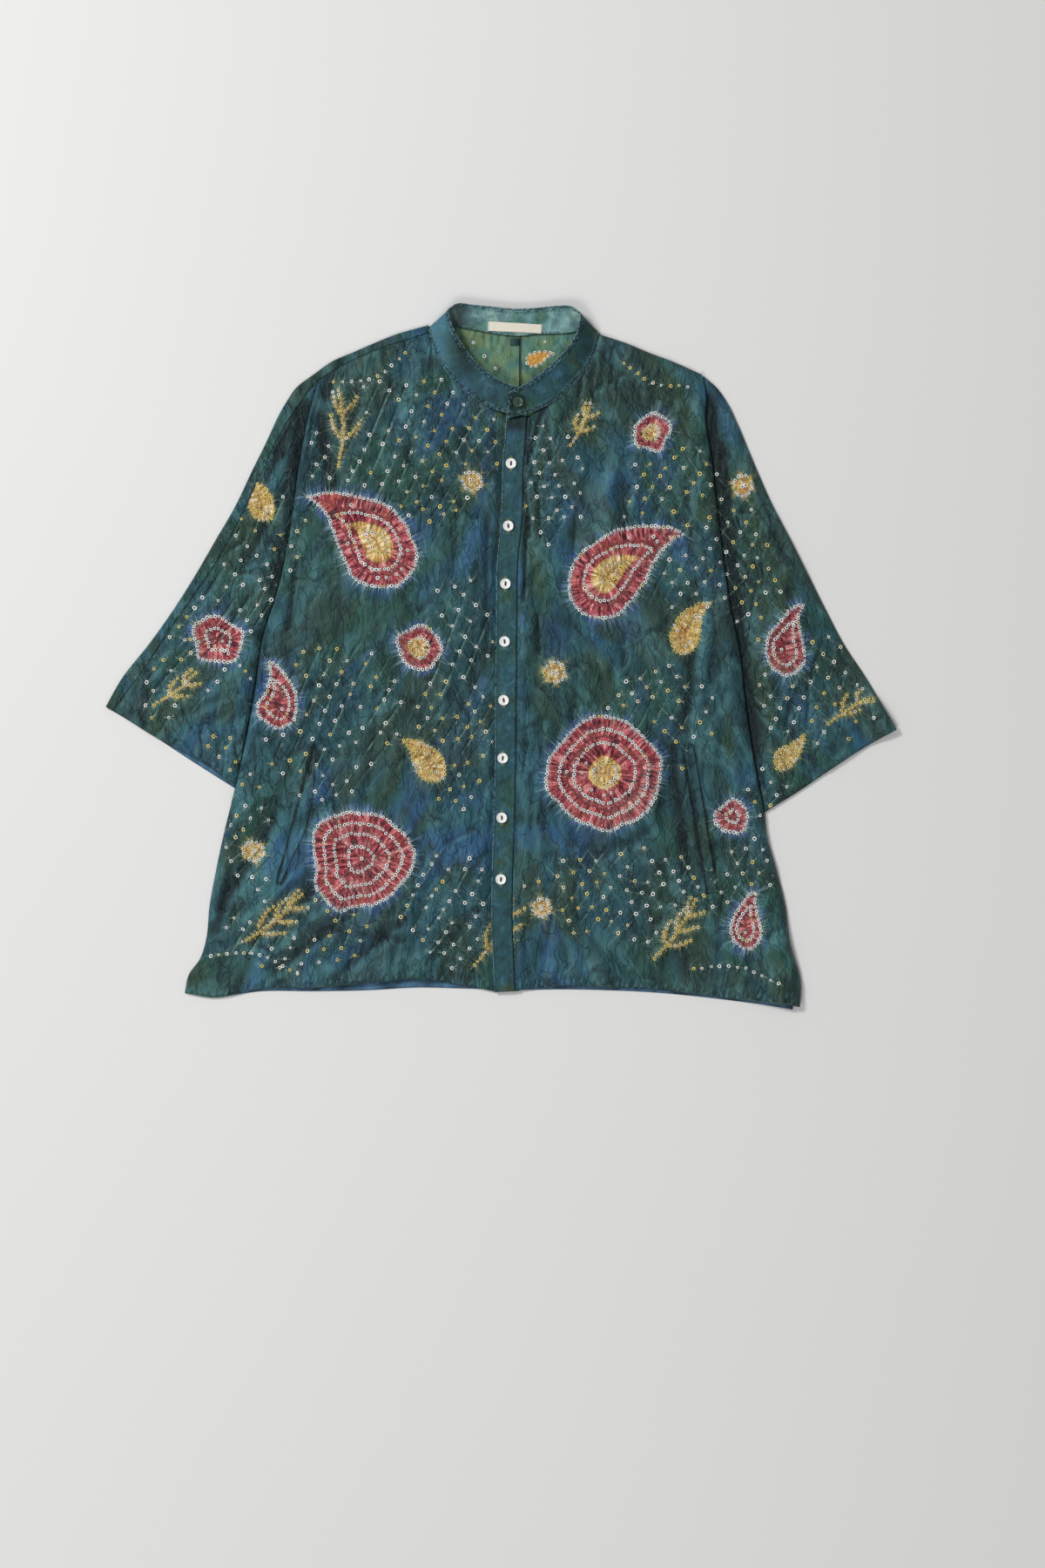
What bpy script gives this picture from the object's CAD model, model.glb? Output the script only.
# %% [markdown]
# # A silk shirt, laid flat
# The shirt lies on its back on a pale table. It is cut from thin silk that was tied into small knots and
# dyed, so the cloth is covered with little rings and puckers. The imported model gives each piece's place and
# outline. Here each piece is made again as thin cloth on that form, with its folds, its sewing, its knots
# and its dyes.

# %% The frame
import math

import bmesh
import bpy
import numpy as np
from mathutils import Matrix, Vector


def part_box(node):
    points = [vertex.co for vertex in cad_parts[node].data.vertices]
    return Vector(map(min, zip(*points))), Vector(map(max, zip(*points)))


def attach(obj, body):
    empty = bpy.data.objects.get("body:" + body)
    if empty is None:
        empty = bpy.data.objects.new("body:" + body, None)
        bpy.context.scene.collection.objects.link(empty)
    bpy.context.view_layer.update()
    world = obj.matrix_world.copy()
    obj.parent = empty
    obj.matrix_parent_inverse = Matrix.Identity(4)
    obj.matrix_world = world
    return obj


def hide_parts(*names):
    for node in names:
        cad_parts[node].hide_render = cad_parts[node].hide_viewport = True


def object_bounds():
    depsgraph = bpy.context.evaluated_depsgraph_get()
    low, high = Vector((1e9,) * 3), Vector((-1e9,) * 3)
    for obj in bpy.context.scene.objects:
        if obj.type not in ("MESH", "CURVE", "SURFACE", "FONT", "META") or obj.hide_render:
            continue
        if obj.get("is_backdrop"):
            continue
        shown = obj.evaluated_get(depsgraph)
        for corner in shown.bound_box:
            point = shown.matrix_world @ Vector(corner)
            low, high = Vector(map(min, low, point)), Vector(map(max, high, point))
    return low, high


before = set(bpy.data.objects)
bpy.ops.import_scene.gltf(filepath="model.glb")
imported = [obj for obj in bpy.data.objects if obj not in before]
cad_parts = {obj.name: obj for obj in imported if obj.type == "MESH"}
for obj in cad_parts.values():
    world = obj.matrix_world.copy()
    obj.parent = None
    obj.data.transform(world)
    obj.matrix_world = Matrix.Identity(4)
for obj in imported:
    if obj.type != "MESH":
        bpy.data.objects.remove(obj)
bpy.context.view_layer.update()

MM = 0.001

# %% [markdown]
# The pattern is drawn in millimetres from the hem's middle, as a cutter draws it. One button is enough to
# say where that drawing lies in the frame, because its middle is known in both.

# %% From the pattern to the frame
FIRST_BUTTON = np.array([-3.0, 580.0])
button_low, button_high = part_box("button_1")
button_middle = np.array([(button_low[k] + button_high[k]) / 2 for k in range(2)])
SHIFT = np.array([*(button_middle / MM - FIRST_BUTTON), 0.0])


def to_frame(points):
    """Pattern millimetres, as x, y, z in the last axis, to the frame's metres."""
    return (np.asarray(points, float) + SHIFT) * MM


def to_pattern(points):
    """The frame's metres back to pattern millimetres."""
    return np.asarray(points, float) / MM - SHIFT


print("the pattern's origin lies at", np.round(SHIFT[:2], 2), "mm")

# %% [markdown]
# Blender keeps a shape apart from the object that shows it. The shape is data, such as a mesh, a lamp or a
# camera. These two functions make every mesh and every object of this file.


# %% Meshes and objects
def mesh_of(name, points, faces):
    """A mesh from points and from rows of point numbers, which may be of unlike lengths."""
    mesh = bpy.data.meshes.new(name)
    rows = [[int(number) for number in row] for row in faces]
    mesh.from_pydata(np.asarray(points, float).tolist(), [], rows)
    return mesh


def points_of(mesh):
    """A mesh's points as rows of three numbers."""
    points = np.empty(3 * len(mesh.vertices), np.float32)
    mesh.vertices.foreach_get("co", points)
    return points.reshape(-1, 3).astype(float)


def put(name, data):
    """An object that shows the data, linked to the scene."""
    made = bpy.data.objects.new(name, data)
    bpy.context.scene.collection.objects.link(made)
    return made


print("meshes before the first piece:", len(bpy.data.meshes))

# %% [markdown]
# The photograph was taken from straight above with a long lens. The view is as wide as 1200 pixels of 0.95
# mm, and the camera stands over the middle of the picture.

# %% Camera
PIXEL = 0.95
PICTURE = (1200, 1800)
ORIGIN_IN_PICTURE = (590, 1143)
LENS = 85.0
SENSOR = 36.0
FARTHEST_SEEN = 100.0

camera_data = bpy.data.cameras.new("camera")
camera_data.lens = LENS
camera_data.sensor_width = SENSOR
camera_data.clip_end = FARTHEST_SEEN
camera = put("camera", camera_data)
right, down = (PICTURE[k] / 2 - ORIGIN_IN_PICTURE[k] for k in range(2))
camera.location = to_frame([right * PIXEL, -down * PIXEL, PICTURE[1] * PIXEL * LENS / SENSOR])
bpy.context.scene.camera = camera
print("camera height in m:", round(camera.location.z, 3))

# %% [markdown]
# A soft lamp at the upper left gives the shadows to the right of and below the shirt. A second one stands
# further down, so the table grows darker only towards the right. A pale room fills the shadows.

# %% Light
LAMPS = [
    # name, place and the point it looks at in metres, width of the lamp, power in watts
    ("key", (-2.1, 1.75, 2.9), (-0.7, -0.55, 0.0), 0.9, 91.0),
    ("side", (-1.6, -3.3, 4.5), (-0.45, -1.15, 0.0), 2.0, 89.0),
]
ROOM_COLOUR = (1.0, 1.0, 1.0, 1.0)
ROOM_LIGHT = 0.34
for name, place, aim, width, power in LAMPS:
    lamp_data = bpy.data.lights.new(name, "AREA")
    lamp_data.size = width
    lamp_data.energy = power
    lamp = put(name, lamp_data)
    lamp.location = place
    lamp.rotation_euler = (Vector(aim) - Vector(place)).to_track_quat("-Z", "Y").to_euler()

world = bpy.data.worlds.new("room")
world.use_nodes = True
background = world.node_tree.nodes["Background"]
background.inputs["Color"].default_value = ROOM_COLOUR
background.inputs["Strength"].default_value = ROOM_LIGHT
bpy.context.scene.world = world
bpy.context.scene.view_settings.view_transform = "Standard"
print("lamps:", [row[0] for row in LAMPS])

# %% [markdown]
# ## Shader sums
# A finish is easier to read as a sum than as a heap of nodes. This small class holds one output of a node.
# Adding or multiplying it adds the Math, Vector Math or Mix node that does the same in the shader.


# %% A socket that can be reckoned with
def linear(code):
    """A colour as #rrggbb, as light: each share c becomes ((c + 0.055) / 1.055) ** 2.4."""
    shares = np.array([int(code[k:k + 2], 16) / 255 for k in (1, 3, 5)])
    light = np.where(shares < 0.04045, shares / 12.92, ((shares + 0.055) / 1.055) ** 2.4)
    return (*light, 1.0)


def sum_of(operation, swapped=False):
    """A method that adds the node for one operation. A swapped one is for a number that stands first."""
    def method(self, other):
        return self.reckon(operation, *((other, self) if swapped else (self, other)))
    return method


class Wire:
    """One output socket, with the sums that may be done on it."""

    __add__, __radd__ = sum_of("ADD"), sum_of("ADD", True)
    __sub__, __rsub__ = sum_of("SUBTRACT"), sum_of("SUBTRACT", True)
    __mul__, __rmul__ = sum_of("MULTIPLY"), sum_of("MULTIPLY")
    __truediv__, __rtruediv__ = sum_of("DIVIDE"), sum_of("DIVIDE", True)

    def __init__(self, dye, socket):
        self.dye = dye
        self.socket = socket
        self.many = socket.type in ("VECTOR", "RGBA")

    def reckon(self, operation, first, second):
        """The node for one sum: Math for numbers, and Vector Math where a side is a colour or a place."""
        many = [isinstance(side, tuple) or isinstance(side, Wire) and side.many for side in (first, second)]
        kind = "ShaderNodeVectorMath" if any(many) else "ShaderNodeMath"
        if any(many) and operation == "MULTIPLY" and not many[1]:
            return self.dye.node(kind, {"operation": "SCALE"}, {0: first, "Scale": second})
        return self.dye.node(kind, {"operation": operation}, {0: first, 1: second})

    def __neg__(self):
        return self.reckon("MULTIPLY", self, -1.0)

    def math(self, operation, *others):
        return self.dye.node("ShaderNodeMath", {"operation": operation}, dict(enumerate((self, *others))))

    def length(self):
        return self.dye.node("ShaderNodeVectorMath", {"operation": "LENGTH"}, {0: self}, "Value")

    def step(self, low, high, start=0.0, end=1.0):
        """A soft step from start, at low, to end, at high."""
        sockets = {"Value": self, "From Min": low, "From Max": high, "To Min": start, "To Max": end}
        return self.dye.node("ShaderNodeMapRange", {"interpolation_type": "SMOOTHSTEP"}, sockets)

    def size(self):
        """A number without its sign."""
        return self.math("ABSOLUTE")


class Dye:
    """A material under construction. node() adds any node, settings first, then the values of its sockets."""

    def __init__(self, name):
        self.material = bpy.data.materials.new(name)
        self.material.use_nodes = True
        self.tree = self.material.node_tree
        self.tree.nodes.clear()

    def node(self, kind, settings=None, sockets=None, output=0):
        made = self.tree.nodes.new(kind)
        for name, value in (settings or {}).items():
            if name == "stops":
                self.stops(made.color_ramp, value)
            else:
                setattr(made, name, value)
        for name, value in (sockets or {}).items():
            target = made.inputs[name]
            if isinstance(value, Wire):
                self.tree.links.new(value.socket, target)
            elif isinstance(value, tuple) and len(value) == 4 and target.type == "VECTOR":
                target.default_value = value[:3]
            elif target.type in ("VECTOR", "RGBA") and not isinstance(value, tuple):
                target.default_value = [value] * len(target.default_value)
            else:
                target.default_value = value
        return Wire(self, made.outputs[output]) if made.outputs else made

    def stops(self, ramp, stops):
        while len(ramp.elements) < len(stops):
            ramp.elements.new(0.5)
        for element, (place, code) in zip(ramp.elements, stops):
            element.position = place
            element.color = linear(code)

    def blend(self, first, second, share):
        """A colour between two, by a share from 0 to 1."""
        first, second = (linear(side) if isinstance(side, str) else side for side in (first, second))
        return self.node("ShaderNodeMix", {"data_type": "RGBA"}, {0: share, 6: first, 7: second}, 2)

    def coats(self, colour, coats):
        """The colour under further coats, each a tint and its share from 0 to 1."""
        for tint, share in coats:
            colour = self.blend(colour, tint, share)
        return colour

    def ramp(self, share, stops):
        """A colour that runs through the stops as the share goes from 0 to 1."""
        return self.node("ShaderNodeValToRGB", {"stops": stops}, {0: share})

    def turn(self, place, degrees):
        """The place turned about the upright axis."""
        return self.node("ShaderNodeVectorRotate", {"rotation_type": "Z_AXIS"},
                         {"Vector": place, "Angle": math.radians(degrees)})

    def place(self):
        """The point on the piece in millimetres."""
        return self.node("ShaderNodeTexCoord", output="Object") * 1000.0

    def attribute(self, name, many=False):
        return self.node("ShaderNodeAttribute", {"attribute_name": name}, output="Vector" if many else "Fac")

    def noise(self, place, size, detail=2.0, roughness=0.5, distortion=0.0, stretch=(1.0, 1.0, 1.0)):
        """Soft noise from 0 to 1, whose blobs are about size millimetres across."""
        sockets = {"Vector": place * tuple(1.0 / (size * share) for share in stretch), "Scale": 1.0}
        sockets.update({"Detail": detail, "Roughness": roughness, "Distortion": distortion})
        return self.node("ShaderNodeTexNoise", {}, sockets)

    def finish(self, colour, roughness, height=None, sheen=0.0, sheen_colour="#ffffff", **fixed):
        """Joins the finish to the surface. The height is in millimetres."""
        sockets = {"Base Color": colour, "Roughness": roughness}
        if height is not None:
            bump = {"Strength": 1.0, "Distance": MM, "Height": height}
            sockets["Normal"] = self.node("ShaderNodeBump", {}, bump)
        sockets["Sheen Weight"] = sheen
        sockets["Sheen Tint"] = linear(sheen_colour)
        sockets.update({name.replace("_", " "): value for name, value in fixed.items()})
        surface = self.node("ShaderNodeBsdfPrincipled", {}, sockets)
        self.node("ShaderNodeOutputMaterial", {}, {"Surface": surface})
        return self.material


print("a dye can be mixed now")

# %% [markdown]
# ## The table
# The table is a plain pale board. It is wide enough to fill the view from every side.


# %% Table
def table_finish():
    dye = Dye("pale_table")
    shade = dye.noise(dye.place(), 900.0)
    return dye.finish(dye.blend("#e2e2e1", "#e5e5e4", shade), 0.8, Specular_IOR_Level=0.1)


TABLE_HALF = 25.0
TABLE_BELOW = 0.0003
corners = [(x * TABLE_HALF, y * TABLE_HALF, -TABLE_BELOW) for x, y in ((-1, -1), (1, -1), (1, 1), (-1, 1))]
table_mesh = mesh_of("table", corners, [(0, 1, 2, 3)])
table_mesh.materials.append(table_finish())
table = put("table", table_mesh)
table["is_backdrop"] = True
print("table", 2 * TABLE_HALF, "m wide")

# %% [markdown]
# ## Lines of the pattern
# A cutter's line is a few marks joined by a smooth curve. The curve here is a cubic on each span. Its slope
# at a mark is the average of the slopes of the spans beside it, each weighted by the other span's length.


# %% Curves through marks
LEAST_LENGTH = 1e-9
NEARBY = 0.004


def through(marks):
    """A curve through the marks, by a share from 0 to 1 of the length of its chords."""
    marks = np.asarray(marks, float)
    steps = np.diff(marks, axis=0)
    spans = np.linalg.norm(steps, axis=1)
    knots = np.concatenate([[0.0], np.cumsum(spans)])
    rates = steps / spans[:, None]
    slopes = np.empty_like(marks)
    slopes[0], slopes[-1] = rates[0], rates[-1]
    before, after = spans[:-1, None], spans[1:, None]
    slopes[1:-1] = (rates[:-1] * after + rates[1:] * before) / (before + after)

    def curve(share):
        where = np.clip(share, 0, 1) * knots[-1]
        i = np.clip(np.searchsorted(knots, where, side="right") - 1, 0, len(spans) - 1)
        s = ((where - knots[i]) / spans[i])[..., None]
        start, end = marks[i], marks[i + 1]
        rise, fall = spans[i][..., None] * slopes[i], spans[i][..., None] * slopes[i + 1]
        bend = s * s * (3 * (end - start) - 2 * rise - fall)
        return start + s * rise + bend + s ** 3 * (rise + fall - 2 * (end - start))

    return curve


def chain(first, second, share):
    """Two curves end to end, the first taking the given share."""
    def curve(t):
        t = np.asarray(t, float)
        return np.where((t <= share)[..., None], first(t / share), second((t - share) / (1 - share)))
    return curve


def beside(curve, distance):
    """The curve moved to the left of its own direction."""
    def moved(t):
        t = np.asarray(t, float)
        along = curve(np.minimum(t + NEARBY, 1)) - curve(np.maximum(t - NEARBY, 0))
        along /= np.maximum(np.linalg.norm(along, axis=-1, keepdims=True), LEAST_LENGTH)
        return curve(t) + distance * np.stack([-along[..., 1], along[..., 0]], -1)
    return moved


def pinned(curve, start, end):
    """The curve with its ends moved onto two places, by (1 - t) ** 6 and t ** 6 of what they are off."""
    first, last = start - curve(np.array(0.0)), end - curve(np.array(1.0))

    def moved(t):
        t = np.asarray(t, float)[..., None]
        return curve(t[..., 0]) + first * (1 - t) ** 6 + last * t ** 6
    return moved


def outline(inner, outer, top, bottom):
    """Four edges whose ends meet at the corners."""
    upper, lower = ([edge(np.array(t)) for edge in (inner, outer)] for t in (0.0, 1.0))
    return {"inner": inner, "outer": outer, "top": pinned(top, *upper), "bottom": pinned(bottom, *lower)}


def patch(edges, u, v):
    """A flat panel between four edges: the blends across and down, less the blend of the corners."""
    top, bottom, inner, outer = (edges[side] for side in ("top", "bottom", "inner", "outer"))
    a, b, c, d = (edge(np.array(end)) for edge in (top, bottom) for end in (0.0, 1.0))
    s, t = u[..., None], v[..., None]
    across = (1 - t) * top(u) + t * bottom(u)
    down = (1 - s) * inner(v) + s * outer(v)
    return across + down - (1 - t) * ((1 - s) * a + s * b) - t * ((1 - s) * c + s * d)


quarter_turn = through([(0, 1), (0.7, 0.7), (1, 0)])
print("half way along a quarter turn:", np.round(quarter_turn(np.array(0.5)), 2))

# %% [markdown]
# These are the shirt's seam and edge lines, from the hem's middle. Right is the wearer's right, on the left
# of the picture.

# %% Seam and edge lines
LINES = {name: through(marks) for name, marks in {
    "neck_front_right": [
        (-4, 632), (-12, 636), (-32, 644), (-51, 657), (-69, 674), (-82, 693), (-89, 713), (-94, 722)],
    "neck_front_left": [(16, 631), (30, 640), (52, 653), (68, 669), (84, 690), (91, 708), (93, 721)],
    "neck_back_right": [(6, 718), (-24, 721), (-52, 726), (-80, 730)],
    "neck_back_left": [(6, 718), (28, 720), (57, 721), (80, 723), (92, 720)],
    "shoulder_seam_right": [(-94, 722), (-110, 717), (-142, 707), (-158, 701), (-186, 687), (-213, 671)],
    "shoulder_edge_right": [(-93, 731), (-131, 720), (-153, 711), (-176, 701), (-197, 692), (-220, 676)],
    "shoulder_edge_left": [(93, 721), (124, 711), (148, 701), (172, 692), (195, 682), (205, 677)],
    "overarm_seam_right": [
        (-213, 671), (-236, 642), (-252, 617), (-277, 565), (-298, 521), (-322, 476), (-346, 440),
        (-370, 407), (-394, 370), (-417, 337), (-436, 311)],
    "overarm_edge_right": [
        (-220, 676), (-237, 663), (-250, 644), (-273, 597), (-285, 573), (-303, 535), (-325, 497),
        (-347, 459), (-371, 421), (-398, 383), (-428, 345), (-445, 315)],
    "overarm_edge_left": [
        (205, 677), (221, 663), (234, 644), (243, 625), (265, 573), (282, 535), (302, 497), (321, 459),
        (340, 421), (360, 383), (385, 345), (406, 309), (417, 290)],
    "armhole_right": [
        (-213, 671), (-223, 636), (-233, 586), (-245, 500), (-258, 440), (-273, 392), (-282, 334),
        (-295, 264), (-304, 226)],
    "armhole_left": [
        (205, 677), (210, 655), (209, 630), (215, 592), (224, 511), (237, 421), (246, 378), (251, 333),
        (258, 283), (265, 240), (274, 200)],
    "side_right": [
        (-304, 226), (-317, 174), (-325, 136), (-332, 98), (-336, 60), (-342, 41), (-355, 22), (-359, 3)],
    "side_left": [(274, 200), (276, 176), (285, 143), (296, 100), (302, 56), (313, 15), (312, -12)],
    "hem_front_right": [
        (-18, 5), (-57, 12), (-104, 18), (-161, 13), (-218, 9), (-275, 8), (-328, -2), (-359, 3)],
    "hem_front_left": [(2, 3), (47, 10), (104, 9), (161, 6), (228, -2), (312, -12)],
    "hem_back_right": [(6, 6), (-57, 8), (-104, 9), (-161, 6), (-218, 5), (-275, 5), (-328, -1), (-358, 3)],
    "hem_back_left": [(6, 6), (47, 7), (104, 6), (161, 3), (228, -4), (280, -11), (304, -15)],
    "cuff_front_right": [(-304, 240), (-347, 260), (-389, 281), (-436, 311)],
    "cuff_back_right": [(-304, 226), (-356, 259), (-394, 284), (-443, 314)],
    "cuff_left": [(274, 201), (309, 222), (342, 244), (385, 272), (417, 290)],
    "placket_edge": [
        (-8, 631), (-12, 581), (-14, 516), (-18, 478), (-19, 421), (-21, 231), (-24, 69), (-21, 4)],
    "back_seam": [(6, 720.5), (6, 6)],
}.items()}
print(len(LINES), "lines")

# %% [markdown]
# ## Chance
# Cloth and hand work are never quite even. The unevenness comes from tables of random numbers with fixed
# seeds, blended smoothly, so it is the same at every run.


# %% Smooth noise
NOISE_CELLS = 128


def soft_noise(x, y, width, seed, length=1.0, angle=0.0):
    """Random numbers from -1 to 1 on a lattice, blended by smooth steps. length draws the cells out."""
    c, s = math.cos(math.radians(angle)), math.sin(math.radians(angle))
    a, b = (x * c + y * s) / width, (y * c - x * s) / (width * length)
    table = np.random.default_rng(seed).uniform(-1, 1, (NOISE_CELLS, NOISE_CELLS))
    i, j = np.floor(a).astype(int), np.floor(b).astype(int)
    fa, fb = a - i, b - j
    fa, fb = fa * fa * (3 - 2 * fa), fb * fb * (3 - 2 * fb)
    corner = [[table[(i + p) % NOISE_CELLS, (j + q) % NOISE_CELLS] for q in (0, 1)] for p in (0, 1)]
    return ((corner[0][0] * (1 - fa) + corner[1][0] * fa) * (1 - fb)
            + (corner[0][1] * (1 - fa) + corner[1][1] * fa) * fb)


def layered_noise(x, y, width, seed, length=1.0, angle=0.0):
    """Three sizes of noise laid over each other, each half as wide and strong as the last, from 0 to 1."""
    total = sum(soft_noise(x, y, width / 2 ** k, seed + k, length, angle) / 2 ** k for k in range(3))
    return np.clip(0.5 + 0.55 * total, 0, 1)


def shaky(points, reach=2.4):
    """The points as an unsteady hand would draw them, moved by slow and quick noise."""
    x, y = points.T
    strays = [soft_noise(x, y, 24, seed) + 0.35 * soft_noise(x, y, 8, seed + 1) for seed in (61, 63)]
    return points + reach * np.stack(strays, -1)


print("noise at one place:", np.round(soft_noise(np.array([5.0]), np.array([5.0]), 10, 1), 3))

# %% [markdown]
# ## Knots
# The cloth was pinched up and tied with thread at hundreds of places before it was dyed, and each knot left
# a pale ring. Fields of them lie on a slanting lattice. Rows of them outline the dyed shapes. The layout
# below is a common one for such cloth: round medallions, drop shapes with a curled tip, twigs and small
# flowers.


# %% Outlines of the dyed shapes
def turned(points, angle):
    """The points turned about the origin by an angle in degrees."""
    c, s = math.cos(math.radians(angle)), math.sin(math.radians(angle))
    return points @ np.array([[c, s], [-s, c]])


def medallion(radius, lobes=8, depth=0.05):
    """A round outline of that radius, whose rim waves in and out by a share of it."""
    angle = np.linspace(0, 2 * np.pi, 72, endpoint=False)
    reach = radius * (1 + depth * np.cos(lobes * angle))
    return np.stack([reach * np.cos(angle), reach * np.sin(angle)], -1)


def drop(length, breadth, curl=0.0, fullness=0.55):
    """A spine that bends by curl radians, with breadth / 2 * sin(pi * s ** fullness) on each side."""
    s = (1 - np.cos(np.linspace(0, np.pi, 40))) / 2
    heading = np.pi / 2 + curl * (s ** 2)
    steps = np.diff(s, prepend=0)[:, None] * length * np.stack([np.cos(heading), np.sin(heading)], -1)
    spine = np.cumsum(steps, axis=0)
    half = 0.5 * breadth * np.sin(np.pi * s ** fullness)
    side = np.stack([-np.sin(heading), np.cos(heading)], -1) * half[:, None]
    return np.concatenate([spine + side, (spine - side)[-2:0:-1]])


def placed(points, x, y, angle):
    """The points turned by an angle and then moved to a place."""
    return turned(points, angle) + np.array([x, y])


def smaller(points, share, toward=None):
    """The outline shrunk to a share of its size, towards its middle or another point."""
    middle = points.mean(0) if toward is None else toward
    return middle + share * (points - middle)


def strung(points, spacing, closed=True):
    """Places along a line at about the spacing given, at equal steps of its length."""
    line = np.concatenate([points, points[:1]]) if closed else points
    along = np.concatenate([[0.0], np.cumsum(np.linalg.norm(np.diff(line, axis=0), axis=1))])
    count = max(int(round(along[-1] / spacing)), 2)
    at = np.linspace(0, along[-1], count, endpoint=not closed)
    return np.stack([np.interp(at, along, line[:, k]) for k in range(2)], -1)


print("a medallion of 40 mm has", len(strung(medallion(40), 6.2)), "knots round it")

# %% [markdown]
# Each dyed shape is one row of a table. Crimson shapes are ringed with white knots and hold further rows
# inside. Golden ones are smaller, and their knots are yellow.

# %% Places of the dyed shapes
KNOT_SPACING = 4.5
LINE_STRAY = 1.2
SHAPE_STRAY = 1.5
RIM_STRAY = 3.2
LEAF_POINTS = (0, 20, 39)
MEDALLIONS = [
    # x, y, radius, lobes, share of the middle that is golden, shares of the radius that have rows
    (-168, 150, 54, 3, 0.0, (1.0, 0.78, 0.54, 0.26)),
    (98, 242, 60, 4, 0.30, (1.0, 0.78, 0.54, 0.2)),
    (-102, 378, 22, 5, 0.5, (1.0, 0.45)),
    (-322, 388, 27, 5, 0.0, (1.0, 0.5)),
    (150, 612, 19, 5, 0.5, (1.0, 0.4)),
    (238, 196, 17, 5, 0.0, (1.0, 0.4)),
]
PAISLEYS = [
    # x, y of the round end, length, breadth, angle, curl, crimson or golden, share of a golden heart
    (-128, 448, 146, 78, 24, 1.1, "crimson", 0.42),
    (78, 418, 142, 76, -30, -1.1, "crimson", 0.42),
    (-262, 292, 74, 42, -14, 1.0, "crimson", 0.0),
    (298, 352, 78, 42, 6, -1.0, "crimson", 0.0),
    (256, 52, 66, 36, 12, -1.0, "crimson", 0.0),
    (-84, 232, 62, 32, 18, 1.0, "golden", 0.0),
    (182, 372, 66, 32, -12, -0.9, "golden", 0.0),
    (286, 252, 42, 24, -60, 0.8, "golden", 0.0),
    (-268, 520, 58, 26, 20, 0.8, "golden", 0.0),
]
TWIGS = [
    # x, y of the foot, length, angle, bend, pairs of side shoots
    (-190, 578, 84, -10, 0.5, 2),
    (-42, 34, 86, -40, 0.6, 3),
    (-296, 60, 84, -62, 0.5, 3),
    (152, 40, 80, -46, 0.5, 3),
    (-392, 318, 58, -62, 0.4, 2),
    (342, 296, 58, -52, -0.4, 2),
    (62, 600, 50, -36, 0.5, 2),
]
FLOWERS = [
    # x, y, reach of a petal, petals
    (-283, 158, 15, 6),
    (44, 352, 16, 6),
    (-46, 560, 15, 6),
    (250, 556, 15, 6),
    (30, 96, 14, 6),
]
GARLANDS = [
    # from x, y, to x, y, sag to the left of the way, how golden
    ((-196, 668), (-118, 700), -12, 0.3),
    ((120, 690), (190, 664), -10, 0.5),
    ((-330, 44), (-236, 24), 12, 0.2),
    ((196, 30), (288, 14), 10, 0.2),
    ((-352, 388), (-286, 346), 10, 0.4),
]

shapes = []
knot_rows = []


def add_row(points, golden, spacing=KNOT_SPACING, closed=True):
    """A row of knots along a line, with how golden each is and its share of the usual size."""
    knots = strung(points, spacing, closed)
    mixed = golden + 0.3 * np.sin(knots[:, 0] / 5 + 2 * np.sin(knots[:, 1] / 9))
    knot_rows.append(np.column_stack([knots, mixed, np.full(len(knots), 0.84 - 0.08 * golden)]))


def add_stem(leaf, place, golden, start, count):
    """A thin golden leaf of a twig, with a row of knots down its middle line, which is given back."""
    shapes.append(("golden", shaky(placed(leaf, *place), SHAPE_STRAY)))
    spine = through([leaf[k] for k in LEAF_POINTS])(np.linspace(start, 1, count))
    add_row(shaky(placed(spine, *place), SHAPE_STRAY), golden, 4.4, False)
    return spine


for x, y, radius, lobes, heart, rows in MEDALLIONS:
    shape = shaky(placed(medallion(radius, lobes), x, y, 11.0), RIM_STRAY)
    shapes.append(("crimson", shape))
    for share in rows:
        add_row(shaky(smaller(shape, share), LINE_STRAY), 0.5 if share < heart else 0.0)
    if heart:
        shapes.append(("golden", shaky(smaller(shape, heart), SHAPE_STRAY)))
for x, y, length, breadth, angle, curl, colour, heart in PAISLEYS:
    shape = shaky(placed(drop(length, breadth, curl), x, y, angle))
    shapes.append((colour, shape))
    middle = placed(np.array([[0.0, 0.34 * length]]), x, y, angle)[0]
    for share in (1.0, 0.6):
        add_row(shaky(smaller(shape, share, middle), LINE_STRAY), 0.1 if colour == "crimson" else 0.8)
    if heart:
        golden_heart = shaky(smaller(shape, heart, middle), SHAPE_STRAY)
        shapes.append(("golden", golden_heart))
        add_row(smaller(golden_heart, 0.5, middle), 0.6)
for x, y, length, angle, bend, pairs in TWIGS:
    spine = add_stem(drop(length, 3.0, bend, 0.9), (x, y, angle), 0.9, 0.0, 40)
    for pair in range(pairs):
        root = spine[int((pair + 0.9) / (pairs + 0.8) * (len(spine) - 1))]
        for side in (-1, 1):
            shoot = turned(drop((0.38 - 0.06 * pair) * length, 3.0, 0.6 * side, 0.9), -side * 42) + root
            add_stem(shoot, (x, y, angle), 0.8, 0.2, 20)
for x, y, reach, petals in FLOWERS:
    for k in range(petals):
        petal = placed(drop(reach, 8.0, 0.0, 0.8), x, y, 360.0 * k / petals + 12)
        shapes.append(("golden", shaky(petal, SHAPE_STRAY)))
    ring = placed(medallion(0.72 * reach, petals, 0.0), x, y, 0.0)
    add_row(shaky(ring, SHAPE_STRAY), 0.3)
    add_row(smaller(ring, 0.2), 0.1)
for start, end, sag, golden in GARLANDS:
    start, end = np.array(start, float), np.array(end, float)
    way = end - start
    middle = (start + end) / 2 + sag * np.array([-way[1], way[0]]) / np.linalg.norm(way)
    add_row(through([start, middle, end])(np.linspace(0, 1, 30)), golden, 8.5, False)
neck_leaf = shaky(placed(drop(30, 15, -0.5), 15, 689, -58), SHAPE_STRAY)
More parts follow.
